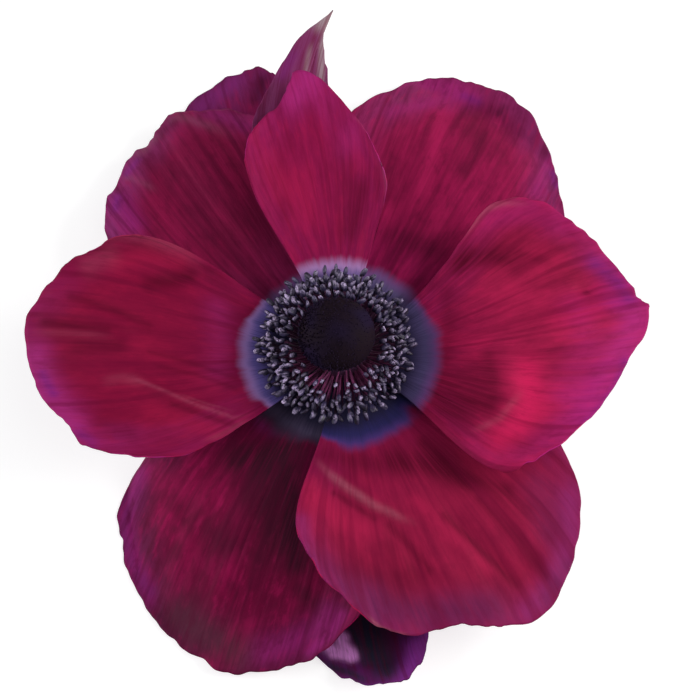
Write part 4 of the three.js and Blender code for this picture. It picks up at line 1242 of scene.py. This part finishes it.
@dataclass
class Petals:
    """The petals: thin waved blades, velvet above and silky below."""

    flower: Flower
    forms: tuple[PetalForm, ...] = PETAL_FORMS
    blade: float = 0.44
    margin_share: float = 0.38
    thin_reach: float = 4.0
    claw: float = 1.9
    seat: float = 3.6
    softness: float = 0.2
    curl_start: float = 0.8
    nudge_depth: float = 0.17
    halo_bite: float = 3.0
    teeth: int = 11
    fine_teeth: int = 27
    raggedness: float = 0.006
    counted_width: float = 40.0
    pleats: int = 9
    pleat_depth: float = 0.16
    fine_pleats: int = 21
    fine_pleat_depth: float = 0.10
    veins: int = 44
    vein_depth: float = 0.05
    crinkle_size: float = 3.1
    crinkle_depth: float = 0.30
    fine_crinkle_size: float = 1.3
    fine_crinkle_depth: float = 0.13
    crinkle_reach: float = 2.6
    column_step: float = 0.34
    row_step: float = 0.5
    curve_per_width: float = 1.35
    curve_at: float = 0.92
    curve_samples: int = 1201

    @staticmethod
    def along_heights(form: PetalForm, q: np.ndarray) -> np.ndarray:
        """Follow the cubic through the midrib's four heights at 0, 1/3, 2/3 and 1.

        Args:
            form: The petal.
            q: Shares of the way along the midrib.

        Returns:
            The heights there, in millimetres.
        """
        start, third, two_thirds, end = form.heights
        return (start * (1 - 3 * q) * (1 - 1.5 * q) * (1 - q)
                + third * 9 * q * (1 - 1.5 * q) * (1 - q)
                - two_thirds * 4.5 * q * (1 - 3 * q) * (1 - q)
                + end * q * (1 - 3 * q) * (1 - 1.5 * q))

    def above_table(self, height: np.ndarray) -> np.ndarray:
        """Keep heights softly above the table by half a blade."""
        low = self.blade / 2
        return low + self.softness * np.logaddexp(0, (height - low) / self.softness)

    def middle(self, form: PetalForm, s: np.ndarray, t: np.ndarray, ragged: float = 0.0) -> np.ndarray:
        """Give points of a petal's middle surface in millimetres from the flower's axis.

        Args:
            form: The petal.
            s: Share of the way from the claw, 0, to the margin, 1.
            t: From the left margin, -1, to the right one, 1.
            ragged: How far the fine teeth of the margin reach, as a share of the size.

        Returns:
            The points, with x, y and z in the last axis.
        """
        turn = np.abs(t) * math.pi / 2
        across = np.sin(turn) ** (2 / form.roundness)
        outward = np.maximum(np.cos(turn), 0) ** (2 / form.roundness)
        side = np.where(t < 0, form.left, form.right)
        width = self.claw + (side - self.claw) * np.sin(math.pi / 2 * s ** form.flare)
        shoulder = form.length * form.shoulder * s
        wave = sum((amplitude * np.sin(math.pi * count * t + phase)
                    for amplitude, count, phase in form.lobes), np.zeros_like(t))
        wave = wave * s ** 3
        rough = drift(t * self.teeth, s * 0, form.seed)
        rough = rough + 0.7 * drift(t * self.fine_teeth, s * 0, form.seed + 20)
        wave = wave + ragged * rough * s ** 9
        along = (shoulder + (form.length * s - shoulder) * outward) * (1 + wave)
        x = np.sign(t) * width * across * (1 + wave)
        for nudge in form.nudges:
            bump = np.exp(-((t - nudge.t) / nudge.width) ** 2 - ((s - nudge.s) / self.nudge_depth) ** 2)
            along = along + nudge.out * bump
            x = x + nudge.aside * bump
        q = along / form.length

        inset = np.minimum(np.abs(x), self.seat)
        ring = np.sqrt(self.seat ** 2 - inset ** 2)
        out = along + self.seat + (ring - self.seat) * (1 - s) ** 4
        sideways = x + form.bend * q ** form.bend_power

        cup = np.where(t < 0, form.cup_left, form.cup_right)
        height = self.along_heights(form, q)
        height = height + cup * (np.abs(x) / side) ** 2 * s ** form.cup_growth
        curl = np.maximum(0, (q - self.curl_start) / (1 - self.curl_start))
        height = height + form.tip_curl * curl ** 2
        ripple = form.ripple
        height = height + ripple.height * s ** 2 * np.sin(math.pi * ripple.count * t + ripple.phase)

        azimuth = math.radians(form.azimuth)
        return np.stack([
            out * math.cos(azimuth) + sideways * math.sin(azimuth),
            out * math.sin(azimuth) - sideways * math.cos(azimuth),
            self.above_table(height),
        ], axis=-1)

    def even_columns(self, form: PetalForm, count: int) -> np.ndarray:
        """Choose t so that the columns end evenly spaced round the petal's outer curve.

        Args:
            form: The petal.
            count: How many columns it has.

        Returns:
            The columns' t, from -1 to 1.
        """
        dense = np.linspace(-1, 1, self.curve_samples)
        curve = self.middle(form, np.full_like(dense, self.curve_at), dense)
        steps = np.linalg.norm(np.diff(curve, axis=0), axis=-1)
        reach = np.concatenate([[0], np.cumsum(steps)])
        return np.interp(np.linspace(0, reach[-1], count + 1), reach, dense)

    def relief(self, form: PetalForm, fan: np.ndarray, s: np.ndarray, plan: np.ndarray,
               margin: np.ndarray) -> np.ndarray:
        """Give the fine relief of a petal: pleats, veins, a crinkled margin and its folds.

        Args:
            form: The petal.
            fan: Share of the way across, from 0 at the left margin.
            s: Share of the way from claw to tip.
            plan: Plan coordinates of the points.
            margin: Distance from the margin in millimetres.

        Returns:
            How far each point moves along its normal, in millimetres.
        """
        seed = form.seed * 5
        size = (form.left + form.right) / self.counted_width
        grown = eased(s, 0.12, 0.55)
        lines = self.pleat_depth * drift(fan * self.pleats * size + 0.3 * s, s * 1.7, seed)
        lines = lines + self.fine_pleat_depth * drift(fan * self.fine_pleats * size, s * 2.3, seed + 1)
        ridges = 1 - 2 * np.abs(drift(fan * self.veins * size, s * 2.6, seed + 2))
        x, y = plan[..., 0], plan[..., 1]
        large, small = self.crinkle_size, self.fine_crinkle_size
        crinkle = self.crinkle_depth * drift(x / large, y / large, seed + 3)
        crinkle = crinkle + self.fine_crinkle_depth * drift(x / small, y / small, seed + 4)
        lift = (lines + self.vein_depth * ridges) * grown
        lift = lift + crinkle * np.exp(-margin / self.crinkle_reach) * grown
        for fold in form.folds:
            lift = lift + fold.lift(x, y)
        return lift

    @staticmethod
    def toned(form: PetalForm, tone: Tone, x: np.ndarray, y: np.ndarray) -> np.ndarray:
        """Add up a petal's marks of one tone.

        Args:
            form: The petal.
            tone: Which marks count.
            x: First plan coordinates of the points.
            y: Their second plan coordinates.

        Returns:
            Their strength at each point, from 0 for none to 1 for full.
        """
        plain = np.ones(x.shape)
        for mark in form.marks:
            if mark.tone is tone:
                near = mark.tapered(x, y) if tone is Tone.PALE_AND_SHEEN else mark.nearness(x, y)[0]
                plain = plain * (1 - mark.strength * near)
        return 1 - plain

    @staticmethod
    def from_margin(middle: np.ndarray) -> np.ndarray:
        """Measure how far each point of a petal lies from its margin.

        Args:
            middle: The points of its middle surface, in rows from the claw to the margin.

        Returns:
            Their distances in millimetres. The claw's sides, the first eighth of the rows, don't
            count as margin.
        """
        first = middle.shape[0] // CLAW_PART
        border = np.concatenate([middle[-1], middle[first:, 0], middle[first:, -1]])
        tree = KDTree(len(border))
        for index, point in enumerate(border):
            tree.insert(point, index)
        tree.balance()
        flat = middle.reshape(-1, 3)
        distances = np.array([tree.find(point)[2] for point in flat])
        return distances.reshape(middle.shape[:2])

    def stored(self, form: PetalForm, middle: np.ndarray, margin: np.ndarray,
               t: np.ndarray) -> dict[str, np.ndarray]:
        """Work out the numbers that a petal's materials read at each point.

        Args:
            form: The petal.
            middle: The points of its middle surface.
            margin: Their distances from the margin.
            t: Their places between the margins.

        Returns:
            The numbers by the names that they are stored under.
        """
        x, y = middle[..., 0], middle[..., 1]
        bitten = self.halo_bite * self.toned(form, Tone.BARE, x, y)
        found = {
            FROM_MARGIN: margin,
            INSIDE_HALO: form.halo_reach - np.hypot(x, y) - bitten,
            TINGED: np.interp(t, np.linspace(-1, 1, len(form.tinge)), form.tinge),
        }
        for tone in Tone:
            if tone is not Tone.BARE:
                found[tone.value] = self.toned(form, tone, x, y)
        return found

    def thicken(self, piece: bpy.types.Object, shares: np.ndarray) -> None:
        """Give a petal its thickness, thinner at the margin.

        Args:
            piece: The petal as a sheet.
            shares: How much of the full thickness each point has beyond the margin's.
        """
        group = piece.vertex_groups.new(name="thickness")
        for index, weight in enumerate(shares):
            group.add([index], float(weight), "REPLACE")
        thickness = piece.modifiers.new("thickness", "SOLIDIFY")
        thickness.thickness = self.blade * MM
        thickness.offset = 0
        thickness.vertex_group = group.name
        thickness.thickness_vertex_group = self.margin_share
        thickness.material_offset = Skin.LOWER.value
        thickness.material_offset_rim = Skin.RIM.value

    def build(self, form: PetalForm) -> None:
        """Make one petal.

        Args:
            form: The petal's shape.
        """
        columns = 2 * round(self.curve_per_width * (form.left + form.right) / self.column_step / 2)
        rows = round(form.length / self.row_step)
        bm = bmesh.new()
        bm.loops.layers.uv.new(PETAL_MAP)
        bmesh.ops.create_grid(bm, x_segments=columns, y_segments=rows, size=1, calc_uvs=True)
        flat = np.array([vertex.co for vertex in bm.verts])
        column = np.rint((flat[:, 0] + 1) / 2 * columns).astype(int)
        row = np.rint((flat[:, 1] + 1) / 2 * rows).astype(int)

        t, s = np.meshgrid(self.even_columns(form, columns), np.linspace(0, 1, rows + 1))
        fan = np.broadcast_to(np.linspace(0, 1, columns + 1), t.shape)
        middle = self.middle(form, s, t, self.raggedness)
        margin = self.from_margin(middle)
        normal = np.cross(np.gradient(middle, axis=1), np.gradient(middle, axis=0))
        normal /= np.linalg.norm(normal, axis=-1, keepdims=True)
        shaped = middle + normal * self.relief(form, fan, s, middle[..., :2], margin)[..., None]
        shaped[..., 2] = np.maximum(shaped[..., 2], self.blade / 2)

        settled = self.flower.settle(shaped)[row, column]
        for vertex, place in zip(bm.verts, settled):
            vertex.co = place
        piece = new_piece(form.name.replace("petal_", "blade_"), bm)
        for name, values in self.stored(form, middle, margin, t).items():
            store_values(piece.data, name, values[row, column])
        self.thicken(piece, eased(margin, 0, self.thin_reach)[row, column])

        edging = Edging(form.velvet.edge, form.velvet.glow, form.velvet.pale_and_sheen)
        for title, finish in (("velvet_", form.velvet), ("silk_", Silk()), ("edging_", edging)):
            piece.data.materials.append(finish.material(title + form.name))
        place_piece(piece, form.slot, form.name)

    def make(self) -> None:
        """Make every petal."""
        for form in self.forms:
            self.build(form)


@dataclass(frozen=True)
class StamenRing:
    """One ring of stamens: where their filaments start and end, and how far they rise."""

    count: int
    root_radius: float
    root_height: float
    reach: float
    height: float
    rise: float
    lean: float = -0.6
    gap: float = 0.0


@dataclass(frozen=True)
class Stamen:
    """One stamen's place: its filament's three points and its anther's direction and size."""

    root: Vector
    bend: Vector
    tip: Vector
    direction: Vector
    size: float
    item: int


@dataclass
class Stamens:
    """The collar round the head, thin filaments and two-lobed anthers."""

    flower: Flower
    rings: tuple[StamenRing, ...] = (
        StamenRing(30, 4.0, 15.6, 7.5, 18.7, 48),
        StamenRing(35, 4.3, 14.8, 9.4, 17.4, 38),
        StamenRing(38, 4.4, 14.0, 11.2, 15.8, 18),
    )
    fillers: tuple[StamenRing, ...] = (
        StamenRing(38, 4.1, 15.4, 7.1, 17.8, 45, -0.1, 36),
        StamenRing(48, 4.2, 15.2, 8.0, 17.3, 30, -0.4, 12),
        StamenRing(54, 4.2, 15.0, 8.8, 16.8, 20, -0.6),
        StamenRing(58, 4.3, 14.4, 9.6, 16.3, 15, -0.5),
        StamenRing(60, 4.4, 13.9, 10.3, 15.6, 8, -0.4),
        StamenRing(54, 4.4, 13.7, 11.0, 15.0, 2, -0.4),
        StamenRing(32, 4.0, 15.6, 6.5, 18.7, 60, -0.1, 105),
    )
    spread: dict[str, float] = field(default_factory=lambda: {
        "place": 0.28, "reach": 0.45, "height": 0.4, "rise": 22.0, "sway": 0.5, "size": 0.12,
    })
    first_filler: int = 200
    filler_wildness: float = 2.2
    squeeze: float = 0.95
    bend_at: float = 0.55
    sag: float = 0.35
    beyond_tip: float = 0.25
    filament_radius: float = 0.15
    red_reach: tuple[float, float] = (9.2, 7.0)
    red_side: tuple[float, float] = (0.1, -0.6)
    least_red: float = 0.3
    anther_half_length: float = 0.78
    anther_half_width: float = 0.38
    anther_half_depth: float = 0.32
    anther_taper: float = 0.12
    anther_bulge: float = 0.14
    groove_width: float = 0.3
    groove_depth: float = 0.42
    groove_notch: float = 0.13
    # Painted highlight on the anthers' upward crowns, and more painted light on the left side of the
    # ring.
    pollen_highlight_crown: tuple[float, float] = (0.12, 0.5)
    least_pollen_highlight: float = 0.15
    left_reach: tuple[float, float] = (4.0, 9.0)
    left_painted_light: float = 0.9
    collar_sides: int = 48
    collar_base: Colour = (0.1, 0.03, 0.09)
    collar_profile: tuple[Plan, ...] = (
        (2.4, 13.3), (4.9, 13.3), (4.95, 13.6), (4.9, 14.5), (4.6, 15.4), (4.2, 16.1),
        (3.9, 16.2), (2.4, 16.2),
    )

    def places(self, rings: Sequence[StamenRing], first: int, turn: float,
               wildness: float = 1.0) -> list[Stamen]:
        """Place the stamens of some rings, by the rule of the part's source.

        Args:
            rings: The rings.
            first: The number of the stamen before the first one.
            turn: How far round the rings start, as a share of a place.
            wildness: How much more than in the source the anthers' directions vary.

        Returns:
            The stamens.
        """
        found = []
        item = first
        for ring in rings:
            for place in range(ring.count):
                item += 1
                share = place + turn + self.spread["place"] * jitter(item, 1)
                azimuth = 2 * math.pi * share / ring.count
                if math.cos(azimuth + math.pi / 2) > math.cos(math.radians(ring.gap)):
                    continue
                radial = Vector((math.cos(azimuth), math.sin(azimuth), 0))
                root = radial * ring.root_radius
                root.z = ring.root_height
                tip = radial * (ring.reach + self.spread["reach"] * jitter(item, 2))
                tip.x = self.squeeze * tip.x + ring.lean
                tip.z = ring.height + self.spread["height"] * jitter(item, 3)
                bend = root.lerp(tip, self.bend_at)
                bend.z -= self.sag
                rise = math.radians(ring.rise + wildness * self.spread["rise"] * jitter(item, 4))
                sway = wildness * self.spread["sway"] * jitter(item, 5)
                direction = Vector((radial.x - sway * radial.y, radial.y + sway * radial.x,
                                    math.tan(rise))).normalized()
                size = 1 + self.spread["size"] * jitter(item, 6)
                found.append(Stamen(root, bend, tip, direction, size, item))
        return found

    def grain(self) -> bpy.types.Mesh:
        """Make the template of an anther: two plump lobes with a groove between them.

        Returns:
            The template, in metres.
        """
        bm = bmesh.new()
        bmesh.ops.create_uvsphere(bm, u_segments=14, v_segments=9, radius=1)
        for vertex in bm.verts:
            x, y, z = vertex.co
            groove = math.exp(-(x / self.groove_width) ** 2)
            full = 1 - self.anther_taper * abs(z) ** 2
            vertex.co = Vector((
                x * full * self.anther_half_width * (1 + self.anther_bulge * abs(z) ** 2),
                y * full * self.anther_half_depth * (1 - self.groove_depth * groove),
                z * self.anther_half_length * (1 - self.groove_notch * groove),
            )) * MM
        bmesh.ops.recalc_face_normals(bm, faces=bm.faces)
        return mesh_of("anther_template", bm)

    def anthers(self, stamens: Sequence[Stamen]) -> None:
        """Make every anther on its filament's tip, as one piece.

        Args:
            stamens: Where they stand.
        """
        template = self.grain()
        base = points_of(template)
        shapes, tints = [], []
        for stamen in stamens:
            turned = turned_to(stamen.direction, math.pi * jitter(stamen.item, 7))
            centre = stamen.tip + stamen.direction * self.beyond_tip
            shape = (base * stamen.size) @ turned.T
            shapes.append(shape + self.flower.settle(np.array(centre)))
            # Each anther's upward crown gets pollen and painted highlight, more on the left side of the
            # ring as painted light.
            upward = eased((turned @ base.T)[2] / MM, *self.pollen_highlight_crown)
            shine = 0.5 + 0.5 * jitter(stamen.item, 8)
            pollen_highlight = self.least_pollen_highlight + (1 - self.least_pollen_highlight) * shine
            left = eased(np.array(-stamen.tip.x), *self.left_reach)
            tints.append(upward * pollen_highlight * (1 + self.left_painted_light * left))
        piece = new_piece("anthers", gather(template, shapes))
        store_values(piece.data, GRAIN_TINT, np.concatenate(tints))
        piece.data.materials.append(AntherFinish().material())
        place_piece(piece, Slot.ANTHER, "stamens")

    def filaments(self, stamens: Sequence[Stamen]) -> None:
        """Make every filament along its curve, as one piece.

        Args:
            stamens: Where they stand.
        """
        template = mesh_of("filament_template", spike(segments=6, end_radius=0.8, cuts=5))
        base = points_of(template)
        along = np.clip(base[:, 2:3], 0, 1)
        shapes, tints = [], []
        for stamen in stamens:
            root, bend, tip = (np.array(p) for p in (stamen.root, stamen.bend, stamen.tip))
            spine = (1 - along) ** 2 * root + 2 * along * (1 - along) * bend + along ** 2 * tip
            heading = 2 * (1 - along) * (bend - root) + 2 * along * (tip - bend)
            heading /= np.linalg.norm(heading, axis=1, keepdims=True)
            side = np.array(Vector((-stamen.root.y, stamen.root.x, 0)).normalized())
            up = np.cross(heading, side)
            offset = base[:, 0:1] * side + base[:, 1:2] * up
            shapes.append(self.flower.settle(spine + offset * self.filament_radius))
            reach = np.hypot(spine[:, 0], spine[:, 1])
            lower = eased(spine[:, 1] / reach, *self.red_side)
            red = self.least_red + (1 - self.least_red) * lower
            tints.append(eased(reach, *self.red_reach) * red)
        bm = gather(template, shapes)
        bmesh.ops.recalc_face_normals(bm, faces=bm.faces)
        piece = new_piece("filaments", bm)
        store_values(piece.data, GRAIN_TINT, np.concatenate(tints))
        piece.data.materials.append(FilamentFinish().material())
        place_piece(piece, Slot.ANTHER, "stamens")

    def collar(self) -> None:
        """Make the collar that carries the filaments."""
        bm = spun(self.collar_profile, self.collar_sides, self.flower, closed=True)
        piece = new_piece("collar", bm)
        store_values(piece.data, GRAIN_TINT, np.ones(len(piece.data.vertices)))
        piece.data.materials.append(FilamentFinish(base=self.collar_base).material())
        place_piece(piece, Slot.ANTHER, "stamens")

    def make(self) -> None:
        """Make the collar, the filaments and the anthers."""
        stamens = self.places(self.rings, first=0, turn=0.5)
        stamens += self.places(self.fillers, first=self.first_filler, turn=0.0,
                               wildness=self.filler_wildness)
        self.collar()
        self.filaments(stamens)
        self.anthers(stamens)


@dataclass
class PistilHead:
    """The dome of pistils on its neck, close-set with short bristly styles."""

    flower: Flower
    neck: float = 2.1
    foot: float = 13.3
    rim: float = 4.2
    underside: float = 16.5
    radius: float = 5.35
    waist: float = 19.4
    top: float = 23.8
    lean: float = -0.35
    sides: int = 64
    styles: int = 1500
    latitudes: tuple[int, ...] = tuple(range(-35, 86, 5))
    lowest_style: float = -30.0
    style_length: float = 0.42
    style_radius: float = 0.13
    style_crown: float = 1.25
    style_wander: float = 0.15
    style_tilt: float = 0.25
    style_depth: float = 0.2

    def dome_point(self, latitude: float) -> Plan:
        """Give a point of the dome's outline.

        Args:
            latitude: Where it is, in degrees.

        Returns:
            Its radius and height.
        """
        angle = math.radians(latitude)
        tall = self.waist - self.underside if latitude < 0 else self.top - self.waist
        return self.radius * math.cos(angle), self.waist + tall * math.sin(angle)

    def core(self) -> None:
        """Make the dome and its neck."""
        profile = [(0.0, self.foot), (self.neck, self.foot), (self.neck, self.underside),
                   (self.rim, self.underside)]
        profile += [self.dome_point(latitude) for latitude in self.latitudes]
        profile.append((0.0, self.top))
        piece = new_piece("pistil_core", spun(profile, self.sides, self.flower))
        piece.data.transform(Matrix.Translation((self.lean * MM * 0.5, 0, 0)))
        store_values(piece.data, GRAIN_TINT, np.zeros(len(piece.data.vertices)))
        piece.data.materials.append(PistilFinish().material())
        place_piece(piece, Slot.PISTIL, "pistil_head")

    def bristle(self) -> bpy.types.Mesh:
        """Make the template of one style: a short rounded spike.

        Returns:
            The template, of unit size.
        """
        bm = spike(segments=6, end_radius=0.45, cuts=1)
        crown = max(bm.faces, key=lambda face: face.calc_center_median().z)
        bmesh.ops.poke(bm, faces=[crown])
        for vertex in bm.verts:
            if vertex.co.z > 0.99 and math.hypot(vertex.co.x, vertex.co.y) < 0.01:
                vertex.co.z = self.style_crown
        return mesh_of("style_template", bm)

    def bristles(self) -> None:
        """Make the styles, set in a spiral over the dome, as one piece."""
        template = self.bristle()
        base = points_of(template)
        shapes, tints = [], []
        lowest = math.sin(math.radians(self.lowest_style))
        tilt = self.style_tilt
        for item in range(self.styles):
            level = 1 - (item + 0.5) / self.styles * (1 - lowest)
            latitude = math.degrees(math.asin(level))
            azimuth = item * GOLDEN_ANGLE + self.style_wander * jitter(item, 12)
            reach, height = self.dome_point(latitude)
            heading = Vector((math.cos(azimuth) * math.cos(math.radians(latitude)),
                              math.sin(azimuth) * math.cos(math.radians(latitude)), level))
            heading += Vector((tilt * jitter(item, 13), tilt * jitter(item, 14), tilt))
            heading = heading.normalized()
            size = np.array([self.style_radius, self.style_radius,
                             self.style_length * (0.8 + 0.25 * jitter(item, 15))])
            centre = np.array([reach * math.cos(azimuth) + self.lean,
                               reach * math.sin(azimuth), height])
            shape = (base * size) @ turned_to(heading).T + centre
            shapes.append(self.flower.settle(shape - np.array(heading) * self.style_depth))
            tints.append(np.clip(base[:, 2], 0, 1) * (0.7 + 0.3 * jitter(item, 16)))
        piece = new_piece("pistil_styles", gather(template, shapes))
        store_values(piece.data, GRAIN_TINT, np.concatenate(tints))
        piece.data.materials.append(PistilFinish().material())
        place_piece(piece, Slot.PISTIL, "pistil_head")

    def make(self) -> None:
        """Make the dome and its styles."""
        self.core()
        self.bristles()


@dataclass
class Stem:
    """The stub of the cut stem with its fine hairs, widening to the receptacle."""

    flower: Flower
    radius: float = 2.5
    cut_radius: float = 2.7
    receptacle: float = 3.3
    top: float = 13.0
    sides: int = 88
    ribs: int = 11
    rib_depth: float = 0.07
    hairs: int = 260
    hair_radius: float = 0.03
    hair_length: float = 0.6
    hair_spread: float = 0.2
    hair_root: float = 0.08
    hairs_from: float = 0.9
    hairs_over: float = 4.6

    def profile(self) -> list[Plan]:
        """Give the stem's outline from the cut end's middle up to the receptacle's top.

        Returns:
            Pairs of radius and height.
        """
        lower = [(0.0, 0.12), (1.2, 0.1), (2.2, 0.04), (2.55, 0.0), (self.cut_radius, 0.12),
                 (2.62, 0.6), (self.radius, 1.2)]
        shaft = [(self.radius, height) for height in (1.8, 2.4, 3.0, 3.6, 4.2, 4.8)]
        neck = [(2.58, 5.6), (2.82, 6.3), (3.1, 6.9), (3.26, 7.4)]
        upper = [(self.receptacle, height) for height in (8.0, 9.0, 10.0, 11.0, 12.0)]
        return lower + shaft + neck + upper + [(3.27, 12.5), (3.1, 12.85), (2.8, self.top),
                                               (0.0, self.top)]

    def shaft(self) -> None:
        """Make the ribbed stem."""
        bm = spun(self.profile(), self.sides, self.flower)
        for vertex in bm.verts:
            away = vertex.co - self.flower.axis
            flat = Vector((away.x, away.y, 0))
            if flat.length > 0.5 * MM and vertex.co.z > 0.05 * MM:
                angle = math.atan2(flat.y, flat.x)
                sunk = self.rib_depth * MM * (0.5 - 0.5 * math.cos(self.ribs * angle))
                vertex.co -= flat.normalized() * sunk
        piece = new_piece("stem_stub", bm)
        piece.data.materials.append(StemFinish().material())
        place_piece(piece, Slot.STEM, "stem")

    def down(self) -> None:
        """Make the fine hairs that stand on the shaft, as one piece."""
        template = mesh_of("hair_template", spike(segments=3, end_radius=0.1))
        base = points_of(template)
        shapes = []
        for item in range(self.hairs):
            azimuth = item * GOLDEN_ANGLE
            height = self.hairs_from + self.hairs_over * (0.5 + 0.5 * jitter(item, 21))
            heading = Vector((math.cos(azimuth), math.sin(azimuth), 0.5 * jitter(item, 22)))
            size = np.array([self.hair_radius, self.hair_radius,
                             self.hair_length + self.hair_spread * jitter(item, 23)])
            foot = np.array([math.cos(azimuth), math.sin(azimuth), 0]) * (self.radius - self.hair_root)
            foot[2] = height
            shape = (base * size) @ turned_to(heading.normalized()).T + foot
            shapes.append(self.flower.settle(shape))
        piece = new_piece("stem_down", gather(template, shapes))
        piece.data.materials.append(StemFinish(green=(0.3, 0.32, 0.2)).material())
        place_piece(piece, Slot.STEM, "stem")

    def make(self) -> None:
        """Make the stem and its hairs."""
        self.shaft()
        self.down()


@dataclass
class Studio:
    """The pale floor, the soft lights and the camera."""

    flower: Flower
    elevation: float = 69.0
    distance: float = 340.0
    target: Point = (1.6, 0.3, 12.5)
    lens: float = 120.6
    light_distance: float = 0.6
    floor_half: float = 3.0
    floor_glow: float = 0.7
    sky_strength: float = 0.17

    @staticmethod
    def stand(piece: bpy.types.Object, place: Vector, away: Vector) -> None:
        """Put a camera or a light in its place and let it look back along a direction."""
        piece.location = place
        piece.rotation_euler = (-away).to_track_quat("-Z", "Y").to_euler()

    def camera(self) -> None:
        """Put the camera where the photograph was taken from."""
        data = bpy.data.cameras.new("camera")
        data.lens = self.lens
        data.sensor_width = 36
        data.clip_start = 0.01
        data.clip_end = 20
        piece = linked("camera", data)
        angle = math.radians(self.elevation)
        away = Vector((0, -math.cos(angle), math.sin(angle)))
        target = Vector(self.target) * MM + self.flower.axis
        self.stand(piece, target + away * self.distance * MM, away)
        bpy.context.scene.camera = piece

    def light(self, name: str, azimuth: float, elevation: float, size: float, energy: float,
              colour: Colour) -> None:
        """Add a square soft light that looks at the flower.

        Args:
            name: The light's name.
            azimuth: Where it stands, from +X towards +Y.
            elevation: How high it stands above the floor.
            size: Its side, in metres.
            energy: Its power in watts.
            colour: Its colour.
        """
        data = bpy.data.lights.new(name, "AREA")
        data.size = size
        data.energy = energy
        data.color = colour
        turn, rise = math.radians(azimuth), math.radians(elevation)
        away = Vector((math.cos(turn) * math.cos(rise), math.sin(turn) * math.cos(rise),
                       math.sin(rise)))
        self.stand(linked(name, data), self.flower.axis + away * self.light_distance, away)

    def floor(self) -> None:
        """Lay a plain pale floor under the flower."""
        bm = bmesh.new()
        bmesh.ops.create_grid(bm, x_segments=2, y_segments=2, size=self.floor_half)
        floor = new_piece("floor", bm)
        pale = (0.45, 0.45, 0.45)
        paint = Shader("pale_floor").finish(pale, 0.9, Specular_IOR_Level=0.0,
                                            Emission_Color=(1.0, 1.0, 1.0),
                                            Emission_Strength=self.floor_glow)
        floor.data.materials.append(paint)

    def sky(self) -> None:
        """Light the scene evenly from all round."""
        world = bpy.data.worlds.new("studio")
        bpy.context.scene.world = world
        world.use_nodes = True
        background = world.node_tree.nodes["Background"]
        background.inputs["Color"].default_value = (1, 1, 1, 1)
        background.inputs["Strength"].default_value = self.sky_strength

    def make(self) -> None:
        """Set the camera, the floor and the lights."""
        scene = bpy.context.scene
        scene.view_settings.view_transform = "Standard"
        scene.view_settings.look = "None"
        self.camera()
        self.floor()
        self.sky()
        self.light("key", azimuth=5, elevation=30, size=0.3, energy=3.0, colour=(1.0, 0.98, 0.96))
        self.light("left", azimuth=180, elevation=24, size=0.4, energy=2.7, colour=(0.96, 0.97, 1.0))
        self.light("top", azimuth=340, elevation=62, size=0.45, energy=0.65, colour=(1.0, 1.0, 1.0))


def main() -> None:
    """Set the studio, then build the flower's pieces in order."""
    logging.basicConfig(level=logging.INFO, format="%(message)s")
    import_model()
    flower = Flower.from_frame()
    Studio(flower).make()
    for part in (Stem(flower), Petals(flower), Stamens(flower), PistilHead(flower)):
        part.make()


if __name__ == "__main__":
    main()
